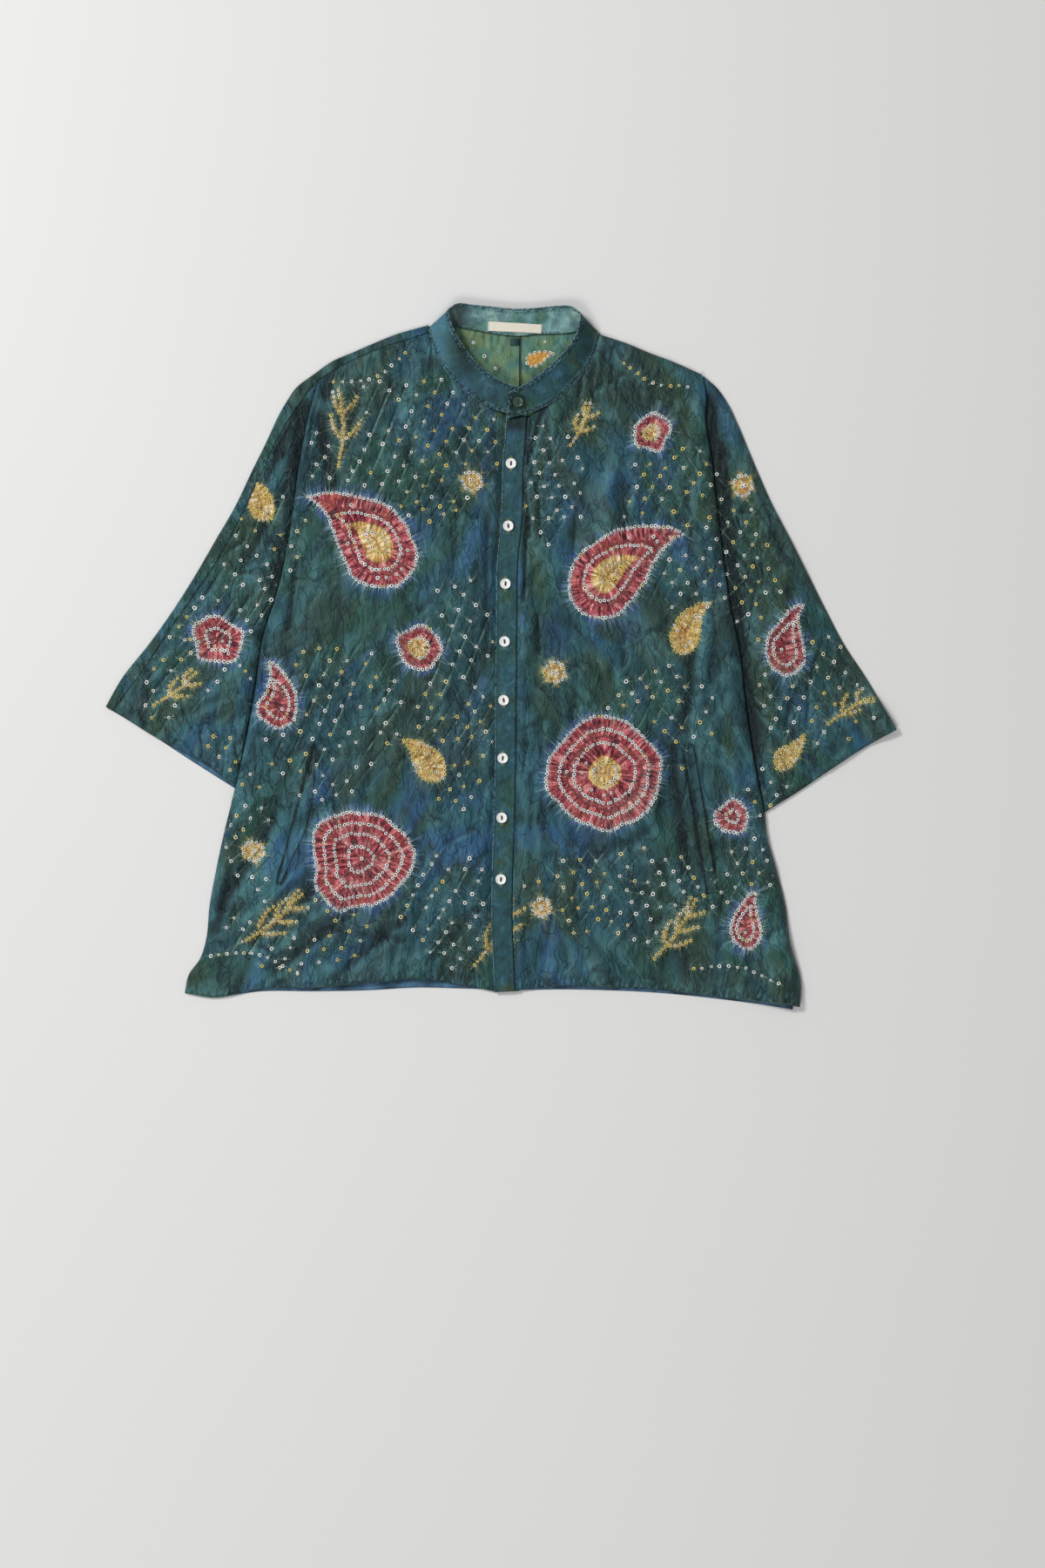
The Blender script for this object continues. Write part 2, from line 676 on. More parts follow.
neck_knots = np.concatenate([strung(neck_leaf, 5.5), [(-32, 697), (-44, 712), (34, 713), (-20, 684)]])
print(len(shapes), "dyed shapes,", sum(len(row) for row in knot_rows), "knots in rows")

# %% [markdown]
# How far a point is from the nearest outline, and where on the outline that nearest point lies, drive both
# the edge of the dye and the streaks that run out from it.


# %% Distance to the dyed shapes
FAR = 60.0


def outline_distance(places, shape):
    """Distance to a closed outline, below 0 inside it, and the nearest point on its straight pieces."""
    start, end = shape, np.roll(shape, -1, axis=0)
    way = end - start
    squares = np.maximum((way * way).sum(-1), LEAST_LENGTH)
    share = np.clip(((places[:, None] - start) * way).sum(-1) / squares, 0, 1)
    feet = start + share[..., None] * way
    gaps = np.linalg.norm(places[:, None] - feet, axis=-1)
    nearest = gaps.argmin(1)
    rows = np.arange(len(places))
    x, y = places[:, :1], places[:, 1:]
    spans = (start[:, 1] > y) != (end[:, 1] > y)
    height = np.where(np.abs(way[:, 1]) < LEAST_LENGTH, LEAST_LENGTH, way[:, 1])
    crossed = spans & (x < start[:, 0] + (y - start[:, 1]) * way[:, 0] / height)
    inside = crossed.sum(1) % 2 == 1
    return np.where(inside, -1, 1) * gaps[rows, nearest], feet[rows, nearest]


def dye_fields(places, shapes=shapes):
    """For each place: distance to crimson, distance to gold, and the nearest point on any outline."""
    reach = {"crimson": np.full(len(places), FAR), "golden": np.full(len(places), FAR)}
    feet = places.copy()
    best = np.full(len(places), FAR)
    for colour, shape in shapes:
        middle = shape.mean(0)
        radius = np.linalg.norm(shape - middle, axis=1).max()
        near = np.flatnonzero(np.linalg.norm(places - middle, axis=1) < radius + FAR)
        if len(near) == 0:
            continue
        distance, foot = outline_distance(places[near], shape)
        reach[colour][near] = np.minimum(reach[colour][near], distance)
        closer = np.abs(distance) < best[near]
        best[near] = np.where(closer, np.abs(distance), best[near])
        feet[near] = np.where(closer[:, None], foot, feet[near])
    return reach["crimson"], reach["golden"], feet


probe = dye_fields(np.array([[-168.0, 150.0], [-168.0, 210.0]]))
print("crimson distance in the middle of a medallion and outside it:", np.round(probe[0], 1))

# %% [markdown]
# The fields of single knots follow a slanting lattice that is drawn out of true by slow waves, because it
# was marked on the cloth by hand. The lattice numbers of a point are found by going round a few times: take
# off the wave that belongs to the last guess, and read the straight lattice again.

# %% The lattice of single knots
LATTICE_START = np.array([-60.0, 520.0])
LATTICE_WAYS = np.array([[8.2, 13.4], [-9.4, 12.4]])
LATTICE_STEP = 15.0
LATTICE_ROUNDS = 14
LATTICE_HALF_COUNT = 45
FIELDS = [
    # x, y, half width, half height, angle
    (-118, 590, 104, 84, 10),
    (-60, 330, 46, 130, 0),
    (-200, 300, 74, 90, -20),
    (-318, 420, 46, 150, -34),
    (-300, 200, 30, 90, 14),
    (-232, 70, 80, 44, 0),
    (-66, 96, 56, 66, 0),
    (46, 560, 34, 70, 0),
    (176, 520, 60, 96, 0),
    (160, 300, 60, 60, 30),
    (268, 160, 34, 110, -14),
    (330, 330, 66, 66, 30),
    (252, 470, 34, 90, 16),
    (120, 110, 110, 52, 0),
]


def lattice_wave(numbers):
    """The slow waves that pull the lattice out of true, in millimetres."""
    a, b = numbers[..., 0], numbers[..., 1]
    return np.stack([9 * np.sin(0.42 * b + 0.23 * a), 9 * np.sin(0.37 * a - 0.19 * b + 1.0)], -1)


def lattice_numbers(places):
    """Lattice numbers of each place."""
    back = np.linalg.inv(LATTICE_WAYS)
    numbers = (places - LATTICE_START) @ back
    for _ in range(LATTICE_ROUNDS):
        numbers = (places - LATTICE_START - lattice_wave(numbers)) @ back
    return numbers


def field_strength(places):
    """1 well inside a field of single knots, and 0 outside it."""
    strength = np.zeros(len(places))
    for x, y, half_width, half_height, angle in FIELDS:
        local = turned(places - np.array([x, y]), -angle) / np.array([half_width, half_height])
        strength = np.maximum(strength, np.clip((1.08 - np.linalg.norm(local, axis=1)) / 0.16, 0, 1))
    return strength


def furrow_share(places):
    """How deep the furrows along each way of the lattice are, from 0 to 1. They come and go."""
    x, y = places.T
    first, second = (np.clip(0.5 + 1.6 * soft_noise(x, y, 21, seed), 0, 1) for seed in (91, 92))
    rightward = np.clip(0.5 + x / 120, 0, 1)
    share = np.stack([first * (0.25 + 0.55 * rightward), second * (1.0 - 0.4 * rightward)], -1)
    return share * field_strength(places)[:, None]


def single_knots():
    """The knots of the fields, a little out of place, with a few left out by chance."""
    rng = np.random.default_rng(7)
    row = np.arange(-LATTICE_HALF_COUNT, LATTICE_HALF_COUNT + 1)
    a, b = np.meshgrid(row, row)
    numbers = np.stack([a.ravel(), b.ravel()], -1).astype(float)
    places = LATTICE_START + numbers @ LATTICE_WAYS + lattice_wave(numbers)
    crimson, golden = dye_fields(places)[:2]
    chance = rng.random(len(places))
    keep = (field_strength(places) > 0.4) & (np.minimum(crimson, golden) > 8) & (chance > 0.16)
    places = places[keep] + rng.normal(0, 0.9, (keep.sum(), 2))
    golden_share = np.clip(0.35 + 0.6 * np.sin(places[:, 0] / 37) * np.sin(places[:, 1] / 53)
                           + rng.normal(0, 0.3, len(places)), 0, 1)
    return np.column_stack([places, golden_share, np.full(len(places), 0.92)])


def inner_knots():
    """A few single knots in the wide crimson bands, between the rows."""
    rng = np.random.default_rng(8)
    places = np.column_stack([rng.uniform(-330, 330, 9000), rng.uniform(30, 640, 9000)])
    rows = np.concatenate(knot_rows)[:, :2]
    kept = []
    crimson, golden = dye_fields(places)[:2]
    for place in places[(crimson < -9) & (golden > 5)]:
        others = np.concatenate([rows, np.array(kept).reshape(-1, 2)])
        if np.linalg.norm(others - place, axis=1).min() > 7.5:
            kept.append(place)
    return np.column_stack([kept, np.full(len(kept), 0.1), np.full(len(kept), 0.85)])


field_knots = single_knots()
knots = np.concatenate([field_knots, inner_knots(), *knot_rows])
print(len(knots), "knots in all")

# %% [markdown]
# ## Height of the cloth
# The largest folds stand in the solids, as soft ridges and troughs along short lines. The same table is
# used here, and a second one adds the sharper creases that the photograph shows. Small crumples between
# them are smooth noise.

# %% Folds and creases
FRONT_LEVEL = 5.8
FRONT_FOLDS = [
    # from x, y, to x, y, half width, height
    (-224, 640, -240, 540, 14, 3.0), (-198, 685, -206, 650, 10, -1.0), (-186, 650, -165, 560, 16, 2.6),
    (-170, 665, -180, 612, 12, -1.1), (-100, 690, -112, 600, 14, 2.4), (-38, 600, -42, 380, 13, 2.0),
    (-120, 480, -150, 300, 18, 2.2), (-215, 460, -235, 300, 20, 2.4), (-62, 380, -52, 220, 14, 1.6),
    (-290, 105, -200, 190, 16, 2.0), (-210, 60, -60, 150, 20, 2.2), (-294, 215, -318, 105, 14, 3.0),
    (-215, 20, -100, 28, 18, 3.4), (200, 640, 216, 480, 16, 4.2), (226, 430, 254, 225, 16, 5.2),
    (262, 190, 290, 60, 18, 6.4), (298, 30, 285, 0, 26, 4.6), (158, 330, 172, 130, 12, -1.1),
    (136, 320, 148, 150, 14, 2.6), (212, 280, 226, 120, 14, 2.0), (124, 560, 118, 470, 10, -1.1),
    (104, 600, 96, 450, 14, 2.2), (56, 570, 48, 420, 16, 2.0), (60, 120, 190, 60, 18, 2.2),
    (45, 22, 108, 20, 16, 2.6),
]
SLEEVE_FOLDS = [
    # from x, y, to x, y, half width, height
    (-228, 648, -262, 570, 9, -1.0), (-244, 620, -282, 520, 12, 2.4), (-275, 440, -300, 350, 14, 1.8),
    (-330, 440, -395, 340, 14, 2.0), (-399, 356, -404, 326, 9, -1.0), (214, 650, 232, 520, 8, -1.0),
    (240, 610, 275, 510, 12, 3.0), (255, 480, 330, 380, 16, 2.6), (275, 400, 300, 290, 14, 1.8),
]
CREASES = [
    # from x, y, to x, y, half width, height
    (-209, 630, -199, 554, 8, -1.9), (-152, 690, -146, 640, 4, -1.0), (-126, 700, -118, 655, 4, -0.9),
    (-195, 706, -204, 654, 9, -1.7), (-169, 668, -180, 611, 8, -1.5), (76, 690, 70, 640, 3.5, -1.2),
    (108, 704, 106, 668, 3.5, -1.1), (192, 262, 204, 150, 4, -1.2),
    (-233, 658, -256, 592, 7, -1.7), (-256, 592, -275, 554, 7, -1.4), (-399, 354, -404, 297, 7, -1.5),
    (-296, 76, -160, 196, 7, 1.6), (-258, 30, -150, 112, 7, -1.8), (-252, 52, -160, 128, 6, 1.3),
    (-196, 18, -120, 84, 6, -1.4), (-318, 96, -262, 190, 6, -1.6), (-88, 40, -40, 92, 5, -1.2),
    (132, 556, 127, 470, 7, 1.4), (214, 410, 202, 300, 7, 1.4), (150, 250, 158, 150, 8, 1.4),
    (-28, 520, -30, 372, 3.5, -1.2), (-40, 470, -46, 330, 4, -0.9), (-52, 610, -60, 520, 4, -0.9),
    (-285, 60, -142, 183, 7, -2.1), (-228, 74, -120, 60, 5, -0.9), (-240, 90, -205, 130, 4, -0.9),
    (-300, 180, -322, 70, 5, -1.3), (-150, 330, -158, 230, 5, -0.9), (-190, 440, -186, 340, 5, -1.0),
    (-90, 300, -78, 200, 4, -0.9), (-236, 470, -246, 400, 5, -1.2), (-115, 200, -60, 110, 5, -0.9),
    (33, 642, 27, 622, 2.4, -2.8), (27, 622, 22, 603, 2.4, -3.0), (22, 603, 14, 579, 2.4, -2.6),
    (18, 626, 13, 590, 2.2, -2.4), (12, 560, 17, 500, 2.4, -2.4), (14, 520, 11, 430, 2.6, -1.8),
    (26, 414, 28, 372, 2.4, -1.8), (25, 560, 30, 500, 2.4, -1.4),
    (36, 640, 40, 580, 4, -1.2), (88, 686, 84, 640, 4, -1.4), (99, 700, 94, 662, 3.5, -1.2),
    (125, 554, 119, 478, 9, -1.6), (172, 269, 188, 136, 8, -1.8), (199, 421, 186, 290, 9, -1.5),
    (70, 360, 62, 250, 5, -0.9), (30, 300, 34, 170, 4, -0.9), (110, 430, 128, 330, 5, -0.8),
    (150, 180, 70, 140, 6, -1.0), (200, 90, 120, 120, 5, -0.9), (250, 190, 262, 100, 5, -1.0),
    (20, 240, 22, 120, 3.5, -0.8), (186, 560, 196, 470, 5, -1.1), (60, 30, 52, 70, 4, -0.8),
    (-60, 30, -70, 80, 4, -0.8), (-130, 34, -120, 90, 4, -0.8), (228, 40, 222, 90, 4, -0.8),
    (-248, 560, -290, 470, 5, -1.2), (-262, 470, -330, 380, 4, -0.9), (-300, 330, -380, 300, 5, -0.8),
    (242, 421, 247, 364, 5, -1.4), (262, 560, 300, 470, 5, -1.2), (300, 440, 350, 350, 5, -0.9),
    (272, 330, 330, 250, 5, -0.9), (226, 600, 236, 540, 4, -1.2),
]
SLITS = [
    # where the fronts dip beside the pocket mouths: from x, y, to x, y, half width, height
    (-218, 274, -258, 122, 1.7, -2.4), (-213, 266, -217, 236, 1.5, -0.7), (-217, 236, -220, 196, 1.5, -1.0),
    (-220, 196, -234, 156, 1.5, -1.3), (-234, 156, -253, 122, 1.6, -1.7), (-252, 138, -254, 126, 4, -3.0),
    (184, 269, 211, 111, 1.7, -2.4), (197.5, 270, 223.5, 112, 1.7, -1.6), (184, 273, 198, 273, 1.6, -2.0),
]
VALLEYS = [
    # the sleeves' side of the armhole seams: from x, y, to x, y, half width, height
    (-225, 640, -235, 586, 12, -2.0), (-235, 586, -247, 500, 10, -1.8), (-247, 500, -275, 392, 8, -1.5),
    (-275, 392, -298, 250, 6, -1.2),
    (209, 645, 226, 511, 14, -3.2), (226, 511, 239, 421, 13, -3.0), (239, 421, 252, 333, 11, -2.6),
    (252, 333, 266, 235, 9, -2.2),
]
LIFTS = [
    # x, y, reach, height
    (422, 300, 48, 7.0),
    (318, -20, 55, 5.0),
]
THIN_CREASES = [
    # width of the noise's cells, their length in widths, seed, angle, narrowness of the crease
    (30, 2.6, 81, 6, 0.10),
    (20, 3.2, 82, -9, 0.13),
    (15, 2.2, 83, 28, 0.16),
]
LOWEST = 3.3
LOWEST_BEND = 1.6


def fold_height(folds, x, y):
    """Sum over the rows of height * exp(-(distance to the line / half width) ** 2)."""
    total = np.zeros_like(x)
    for x0, y0, x1, y1, half_width, height in folds:
        dx, dy = x1 - x0, y1 - y0
        along = np.clip(((x - x0) * dx + (y - y0) * dy) / (dx * dx + dy * dy), 0, 1)
        distance = np.hypot(x - x0 - along * dx, y - y0 - along * dy)
        total += height * np.exp(-(distance / half_width) ** 2)
    return total


def lift_height(x, y):
    """Corners that stand clear of the table: height * (1 - (distance / reach) ** 2) ** 2."""
    total = np.zeros_like(x)
    for x0, y0, reach, height in LIFTS:
        total += height * np.maximum(1 - (np.hypot(x - x0, y - y0) / reach) ** 2, 0) ** 2
    return total


def thin_creases(x, y):
    """Long creases, 1 at their middle: where a drawn-out noise passes through 0, in some places."""
    creases = np.zeros_like(x)
    for width, length, seed, angle, narrow in THIN_CREASES:
        some = np.clip(0.2 + 1.6 * soft_noise(x, y, 52, seed + 10), 0, 1)
        line = np.exp(-(soft_noise(x, y, width, seed, length, angle) / narrow) ** 2)
        creases = np.maximum(creases, line * some)
    return creases


def crumple(x, y):
    """Soft rolls along the cloth's length, smaller ones across them, and the thin creases."""
    rolls = 1.2 * soft_noise(x, y, 19, 1, 3.2, 8) + 0.95 * soft_noise(x, y, 11, 2, 2.4, -14)
    fine = 0.5 * soft_noise(x, y, 6.5, 3, 1.8, 20)
    slow = 1.7 * soft_noise(x, y, 33, 4, 3.6, 4)
    return slow + rolls + fine - 1.1 * thin_creases(x, y)


print("folds and creases:", len(FRONT_FOLDS) + len(SLEEVE_FOLDS) + len(CREASES))

# %% [markdown]
# Each knot stays a small peak in the cloth. Around it the cloth is drawn together, and between the knots of
# a field run shallow furrows along the lattice.


# %% Peaks and furrows of the knots
AT_ONCE = 4000
KNOT_REACH = 30


def nearest_knot(places, knots=knots):
    """The way from each place to its nearest knot, in millimetres, a batch of places at a time."""
    way = np.full((len(places), 2), FAR)
    for start in range(0, len(places), AT_ONCE):
        part = places[start:start + AT_ONCE]
        low, high = part.min(0) - KNOT_REACH, part.max(0) + KNOT_REACH
        near = knots[((knots[:, :2] > low) & (knots[:, :2] < high)).all(1), :2]
        if len(near):
            gaps = ((part[:, None] - near) ** 2).sum(-1)
            way[start:start + AT_ONCE] = near[gaps.argmin(1)] - part
    return way


def knot_relief(places):
    """Peaks at the knots, and furrows between the knots of a field."""
    distance = np.linalg.norm(nearest_knot(places), axis=1)
    numbers = lattice_numbers(places)
    off = np.abs(numbers - np.round(numbers)) * LATTICE_STEP
    furrows = np.exp(-(off / 2.0) ** 2) * furrow_share(places)
    peaks = 0.7 * np.exp(-(distance / 3.0) ** 2) + 0.3 * np.exp(-(distance / 7) ** 2)
    return peaks - 0.8 * furrows.sum(1)


def cloth_height(folds, x, y):
    """Height of a front panel's face above the table, before its edges are drawn down."""
    places = np.stack([x.ravel(), y.ravel()], -1)
    relief = knot_relief(places).reshape(x.shape)
    height = FRONT_LEVEL + fold_height(folds, x, y) + fold_height(CREASES, x, y) + crumple(x, y) + relief
    return LOWEST + np.logaddexp(0, LOWEST_BEND * (height - LOWEST)) / LOWEST_BEND


print("height in a plain place:", np.round(cloth_height(FRONT_FOLDS, np.array([60.0]), np.array([400.0])), 2))

# %% [markdown]
# The dye sank deeper where the cloth was folded under, so the side of a fold that turns from the lamp is
# darker than its shadow alone makes it. The slope along the lamp's way says which side that is.


# %% The side of a fold that turns from the lamp
LIGHT_WAY = (-0.52, 0.85)
LIGHT_REACH = 1.5


def facing_away(x, y):
    """How steeply the folds fall away from the lamp, from the heights on both sides of each point."""
    def form(x, y):
        folds = fold_height(FRONT_FOLDS + SLEEVE_FOLDS, x, y) + 1.3 * fold_height(CREASES, x, y)
        return folds + crumple(x, y)
    dx, dy = (LIGHT_REACH * share for share in LIGHT_WAY)
    return (form(x + dx, y + dy) - form(x - dx, y - dy)) / (2 * LIGHT_REACH)


print("slope from the lamp in a plain place:", np.round(facing_away(np.array([60.0]), np.array([400.0])), 2))

# %% [markdown]
# ## Panels
# A panel is a grid of points. u runs from its inner edge to its outer one, and v from its top to its
# bottom. Its height eases down to its rims along a quarter circle, as rounded cloth does at a seam.
# Solidify then gives the face its thickness on the inner side.

# %% Grids and pieces
CLOTH = 0.45


def climb(distance, ease):
    """From 0 at an edge to 1 at the distance ease, along a quarter circle."""
    left = 1 - np.minimum(distance / ease, 1)
    return np.sqrt(1 - left * left)


def grid(edges, columns, rows):
    u, v = np.meshgrid(columns, rows)
    return u, v, patch(edges, u, v)


def upper_face(edges, columns, rows, folds, rims):
    """Points of a front-side panel: the cloth's height, drawn down to each rim's own height."""
    u, v, plan = grid(edges, columns, rows)
    x, y = plan[..., 0], plan[..., 1]
    z = cloth_height(folds, x, y)
    zero, one = np.zeros_like(u), np.ones_like(u)
    sides = {"top": (u, zero), "bottom": (u, one), "inner": (zero, v), "outer": (one, v)}
    for side, (rim_face, flat, ease) in rims.items():
        rim_plan = patch(edges, *sides[side])
        distance = np.maximum(np.linalg.norm(plan - rim_plan, axis=-1) - flat, 0)
        rim = rim_face(x, y)
        z = rim + (z - rim) * climb(distance, ease)
    return np.stack([x, y, z + lift_height(x, y)], -1)


SAME_PLACE = 2e-6
NO_LENGTH = 1e-7


def piece_from(name, points, faces, finish, nodes):
    """A mesh piece from points in pattern millimetres. Points that coincide become one."""
    mesh = mesh_of(name, to_frame(points), faces)
    work = bmesh.new()
    work.from_mesh(mesh)
    bmesh.ops.remove_doubles(work, verts=work.verts, dist=SAME_PLACE)
    bmesh.ops.dissolve_degenerate(work, edges=work.edges, dist=NO_LENGTH)
    work.to_mesh(mesh)
    work.free()
    mesh.shade_smooth()
    mesh.materials.append(finish)
    piece = put(name, mesh)
    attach(piece, "root")
    if nodes:
        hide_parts(*nodes)
    return piece


def grid_faces(rows, columns, start=0, flip=False):
    """Quads of a grid whose points are numbered row by row."""
    first = start + np.arange(rows * columns).reshape(rows, columns)
    quads = np.stack([first[:-1, :-1], first[1:, :-1], first[1:, 1:], first[:-1, 1:]], -1).reshape(-1, 4)
    return quads[:, ::-1] if flip else quads


def faces_up(face):
    """True if the grid's quads look up as grid_faces numbers them."""
    down = face[1:, :-1, :2] - face[:-1, :-1, :2]
    across = face[:-1, 1:, :2] - face[:-1, :-1, :2]
    return (down[..., 0] * across[..., 1] - down[..., 1] * across[..., 0]).sum() > 0


def grid_piece(name, face, finish, nodes):
    """A piece from one grid of points, looking up."""
    quads = grid_faces(*face.shape[:2], flip=not faces_up(face))
    return piece_from(name, face.reshape(-1, 3), quads, finish, nodes)


def thicken(piece, thickness=CLOTH):
    """A wall under the faces, in millimetres."""
    wall = piece.modifiers.new("thickness", "SOLIDIFY")
    wall.thickness = thickness * MM
    wall.offset = -1.0
    wall.use_even_offset = False
    return piece


def plan_of(piece):
    """A piece's points in pattern millimetres."""
    return to_pattern(points_of(piece.data))


def give(piece, name, values):
    """Stores one number or three for each point of a piece."""
    values = np.asarray(values, np.float32)
    if values.ndim == 1:
        piece.data.attributes.new(name, "FLOAT", "POINT").data.foreach_set("value", values)
    else:
        piece.data.attributes.new(name, "FLOAT_VECTOR", "POINT").data.foreach_set("vector", values.ravel())


print("cloth", CLOTH, "mm thick")

# %% [markdown]
# ## What the dyes need to know
# A shader knows only the place of a point. All else that the dyes follow is worked out here and stored at
# the points of each piece: how far the nearest dyed shape and knot are, the lattice and its furrows, the
# creases, and clouds and strokes of the dye baths that lean with the cloth.

# %% Numbers for the dyes
BACK_MIDDLE = np.array([-14.0, 350.0])
UNDERSIDE = 0.3
BATH_NOISES = [
    # width of the noise's cells, seed, their length in widths
    (40, 101, 2.0),
    (34, 111, 2.4),
]
STROKE_NOISES = [
    # the same, and an angle: strokes upright, slanting one way and slanting the other
    (12, 121, 3.2, 0),
    (12, 131, 3.4, -42),
    (12, 141, 3.2, 30),
]


def wavy(x, y, reach, width, seed):
    """The places pushed about by smooth noise."""
    return x + reach * soft_noise(x, y, width, seed), y + reach * soft_noise(x, y, width, seed + 1)


def bath_shares(x, y, sway):
    """Shares of the dye baths: clouds of colour, patches of blue or olive, and strokes of the brush."""
    leaning = np.clip(x / 60, -1, 0.6) * 0.55
    bent_x, bent_y = wavy(x, y, 16, 50, 71)
    bent_x = bent_x + leaning * (y - 330)
    clouds, patches = (layered_noise(bent_x, bent_y, *noise) for noise in BATH_NOISES)
    upright, slanting, backward = (layered_noise(*wavy(x, y, 10, 40, 73), *noise) for noise in STROKE_NOISES)
    outward = np.clip((np.abs(x) - 130) / 130, 0, 1) + 0.5 * np.clip((y - 560) / 120, 0, 1)
    brush = upright + (slanting - upright) * np.maximum(sway, 0) + (backward - upright) * np.maximum(-sway, 0)
    on_arm = np.clip((-x - 225) / 60, 0, 1)
    low_right = np.clip((-x - 20) / 80, 0, 1) * np.clip((300 - y) / 120, 0, 1)
    clouds += 0.08 * low_right - 0.16 * outward
    brush += 0.2 * on_arm + 0.05 * low_right
    return np.stack([clouds, patches - 0.14 * outward, brush], -1)


def give_dyes(piece, plain=False, worn=0.0, back=False):
    """Stores what the dyes need to know at each point of a piece. worn darkens it as a crease does.

    The back has the front's shapes after half a turn. Its strips over the shoulder and the arm stay plain.
    """
    plan = plan_of(piece)
    places = 2 * BACK_MIDDLE - plan[:, :2] if back else plan[:, :2]
    side = -1 if back else 1
    x, y = places.T
    crimson, golden, feet = dye_fields(places, [("golden", neck_leaf)] if plain else shapes)
    way = side * nearest_knot(places, field_knots if back else knots)
    painted = ((plan[:, 2] < UNDERSIDE) & back).astype(float)
    if back:
        crimson, golden = (np.where(painted > 0, reach, FAR) for reach in (crimson, golden))
        give(piece, "leaf", dye_fields(plan[:, :2], [("golden", neck_leaf)])[1])
        feet = 2 * BACK_MIDDLE - feet
    sway = np.clip(0.25 + 0.9 * soft_noise(x, y, 70, 75) - (x + 60) / 110 - (y - 180) / 420, -0.9, 1)
    furrows = furrow_share(places) * (0 if plain else 1) * (painted[:, None] if back else 1)
    sharp = np.clip(-0.75 * fold_height(CREASES, x, y), 0, 1.3)
    creases = np.maximum(sharp, 0.8 * thin_creases(x, y)) + worn
    shade = np.clip(2.6 * facing_away(x, y), -1, 1) * (0 if plain else 1)
    for name, values in {
        "crimson": crimson,
        "golden": golden,
        "foot": np.column_stack([feet, np.zeros(len(x))]),
        "knot": np.column_stack([way, np.linalg.norm(way, axis=1)]),
        "painted": painted,
        "lattice": np.column_stack([lattice_numbers(places), sway]),
        "folds": np.column_stack([furrows, creases]),
        "baths": bath_shares(x, y, sway),
        "shade": shade,
    }.items():
        give(piece, name, values)


print("noises for the dye baths:", len(BATH_NOISES) + len(STROKE_NOISES))

# %% [markdown]
# ## Dyed silk
# The ground was dyed in several baths of teal, blue and green, which run into each other in long soft
# streaks. The crimson and gold were painted inside the tied outlines. Where a knot held the cloth tight,
# the colours bled out along its folds as pale streaks.

# %% Finish of the dyed silk
TEAL = "#274e57"
BRIGHT = "#2a5664"
BLUE = "#2f587c"
DEEP_BLUE = "#2f4c86"
GREEN = "#2a4f47"
OLIVE = "#36462f"
DARK = "#162c30"
DARKEST = "#091416"
PALE = "#53898f"
STROKE = (1.0, 5.0, 1.0)


def parts(dye, vector):
    """The three numbers of a vector."""
    split = dye.node("ShaderNodeSeparateXYZ", {}, {0: vector})
    return [Wire(dye, output) for output in split.socket.node.outputs]


def ground_colour(dye, place, creases, sway):
    """Clouds of olive, teal and blue, then soft strokes along the cloth, and dark creases."""
    clouds, patches, brush = parts(dye, dye.attribute("baths", True))
    ways = (place, dye.turn(place, 42), dye.turn(place, -30))
    upright, slanting, backward = (dye.noise(way, 4.6, 2.0, 0.6, 0.3, STROKE) for way in ways)
    streaks = upright + (slanting - upright) * sway.math("MAXIMUM", 0.0)
    streaks = streaks + (backward - upright) * (-sway).math("MAXIMUM", 0.0)
    shade = dye.attribute("shade")
    ground = dye.ramp(clouds, [(0.16, GREEN), (0.40, TEAL), (0.56, TEAL), (0.74, BRIGHT), (0.94, BLUE)])
    return dye.coats(ground, [
        (DEEP_BLUE, patches.step(0.62, 1.0, 0.0, 0.38)),
        (OLIVE, patches.step(0.40, 0.12, 0.0, 0.6)),
        (DARK, brush.step(0.50, 0.10, 0.0, 0.34)),
        (PALE, brush.step(0.56, 0.94, 0.0, 0.30)),
        (DARK, streaks.step(0.50, 0.30, 0.0, 0.2)),
        (PALE, streaks.step(0.54, 0.76, 0.0, 0.22)),
        (DARK, shade.step(0.02, 0.8, 0.0, 0.62)),
        (PALE, shade.step(-0.04, -0.9, 0.0, 0.42)),
        (DARK, creases * 0.62),
        (DARKEST, creases.step(0.5, 1.5, 0.0, 0.62)),
    ])


def silk_weave(dye, place):
    """The silk's own small unevenness, in millimetres of height."""
    return dye.noise(place, 4.6, 3.0, 0.6, 0.3, (1.0, 2.0, 1.0)) * 1.5


def painted_shapes(dye, pleats, flecks, blot):
    """Crimson and gold, as the brush left them on pinched cloth."""
    red = dye.ramp(pleats, [
        (0.34, "#3f1a27"), (0.42, "#7c2c39"), (0.50, "#ab424b"), (0.59, "#cc7073"), (0.70, "#eab4ae")])
    red = dye.coats(red, [
        ("#4a1f2f", flecks.step(0.42, 0.30, 0.0, 0.65)),
        ("#a8523c", blot.step(0.58, 0.74, 0.0, 0.5)),
    ])
    gold = dye.ramp(pleats, [(0.30, "#80602f"), (0.41, "#bf924a"), (0.52, "#e2ba6e"), (0.68, "#fbeec8")])
    return red, dye.blend(gold, "#b0703a", blot.step(0.54, 0.70, 0.0, 0.6))


def lattice_lines(off, furrows):
    """The dark bottoms, the lit sides and the whole dips of the furrows, from how far off each line is."""
    return [sum((side + shift).size().step(reach, 0.0) * share for side, share in zip(off, furrows))
            for shift, reach in ((-0.5, 1.3), (1.0, 1.3), (0.0, 3.0))]


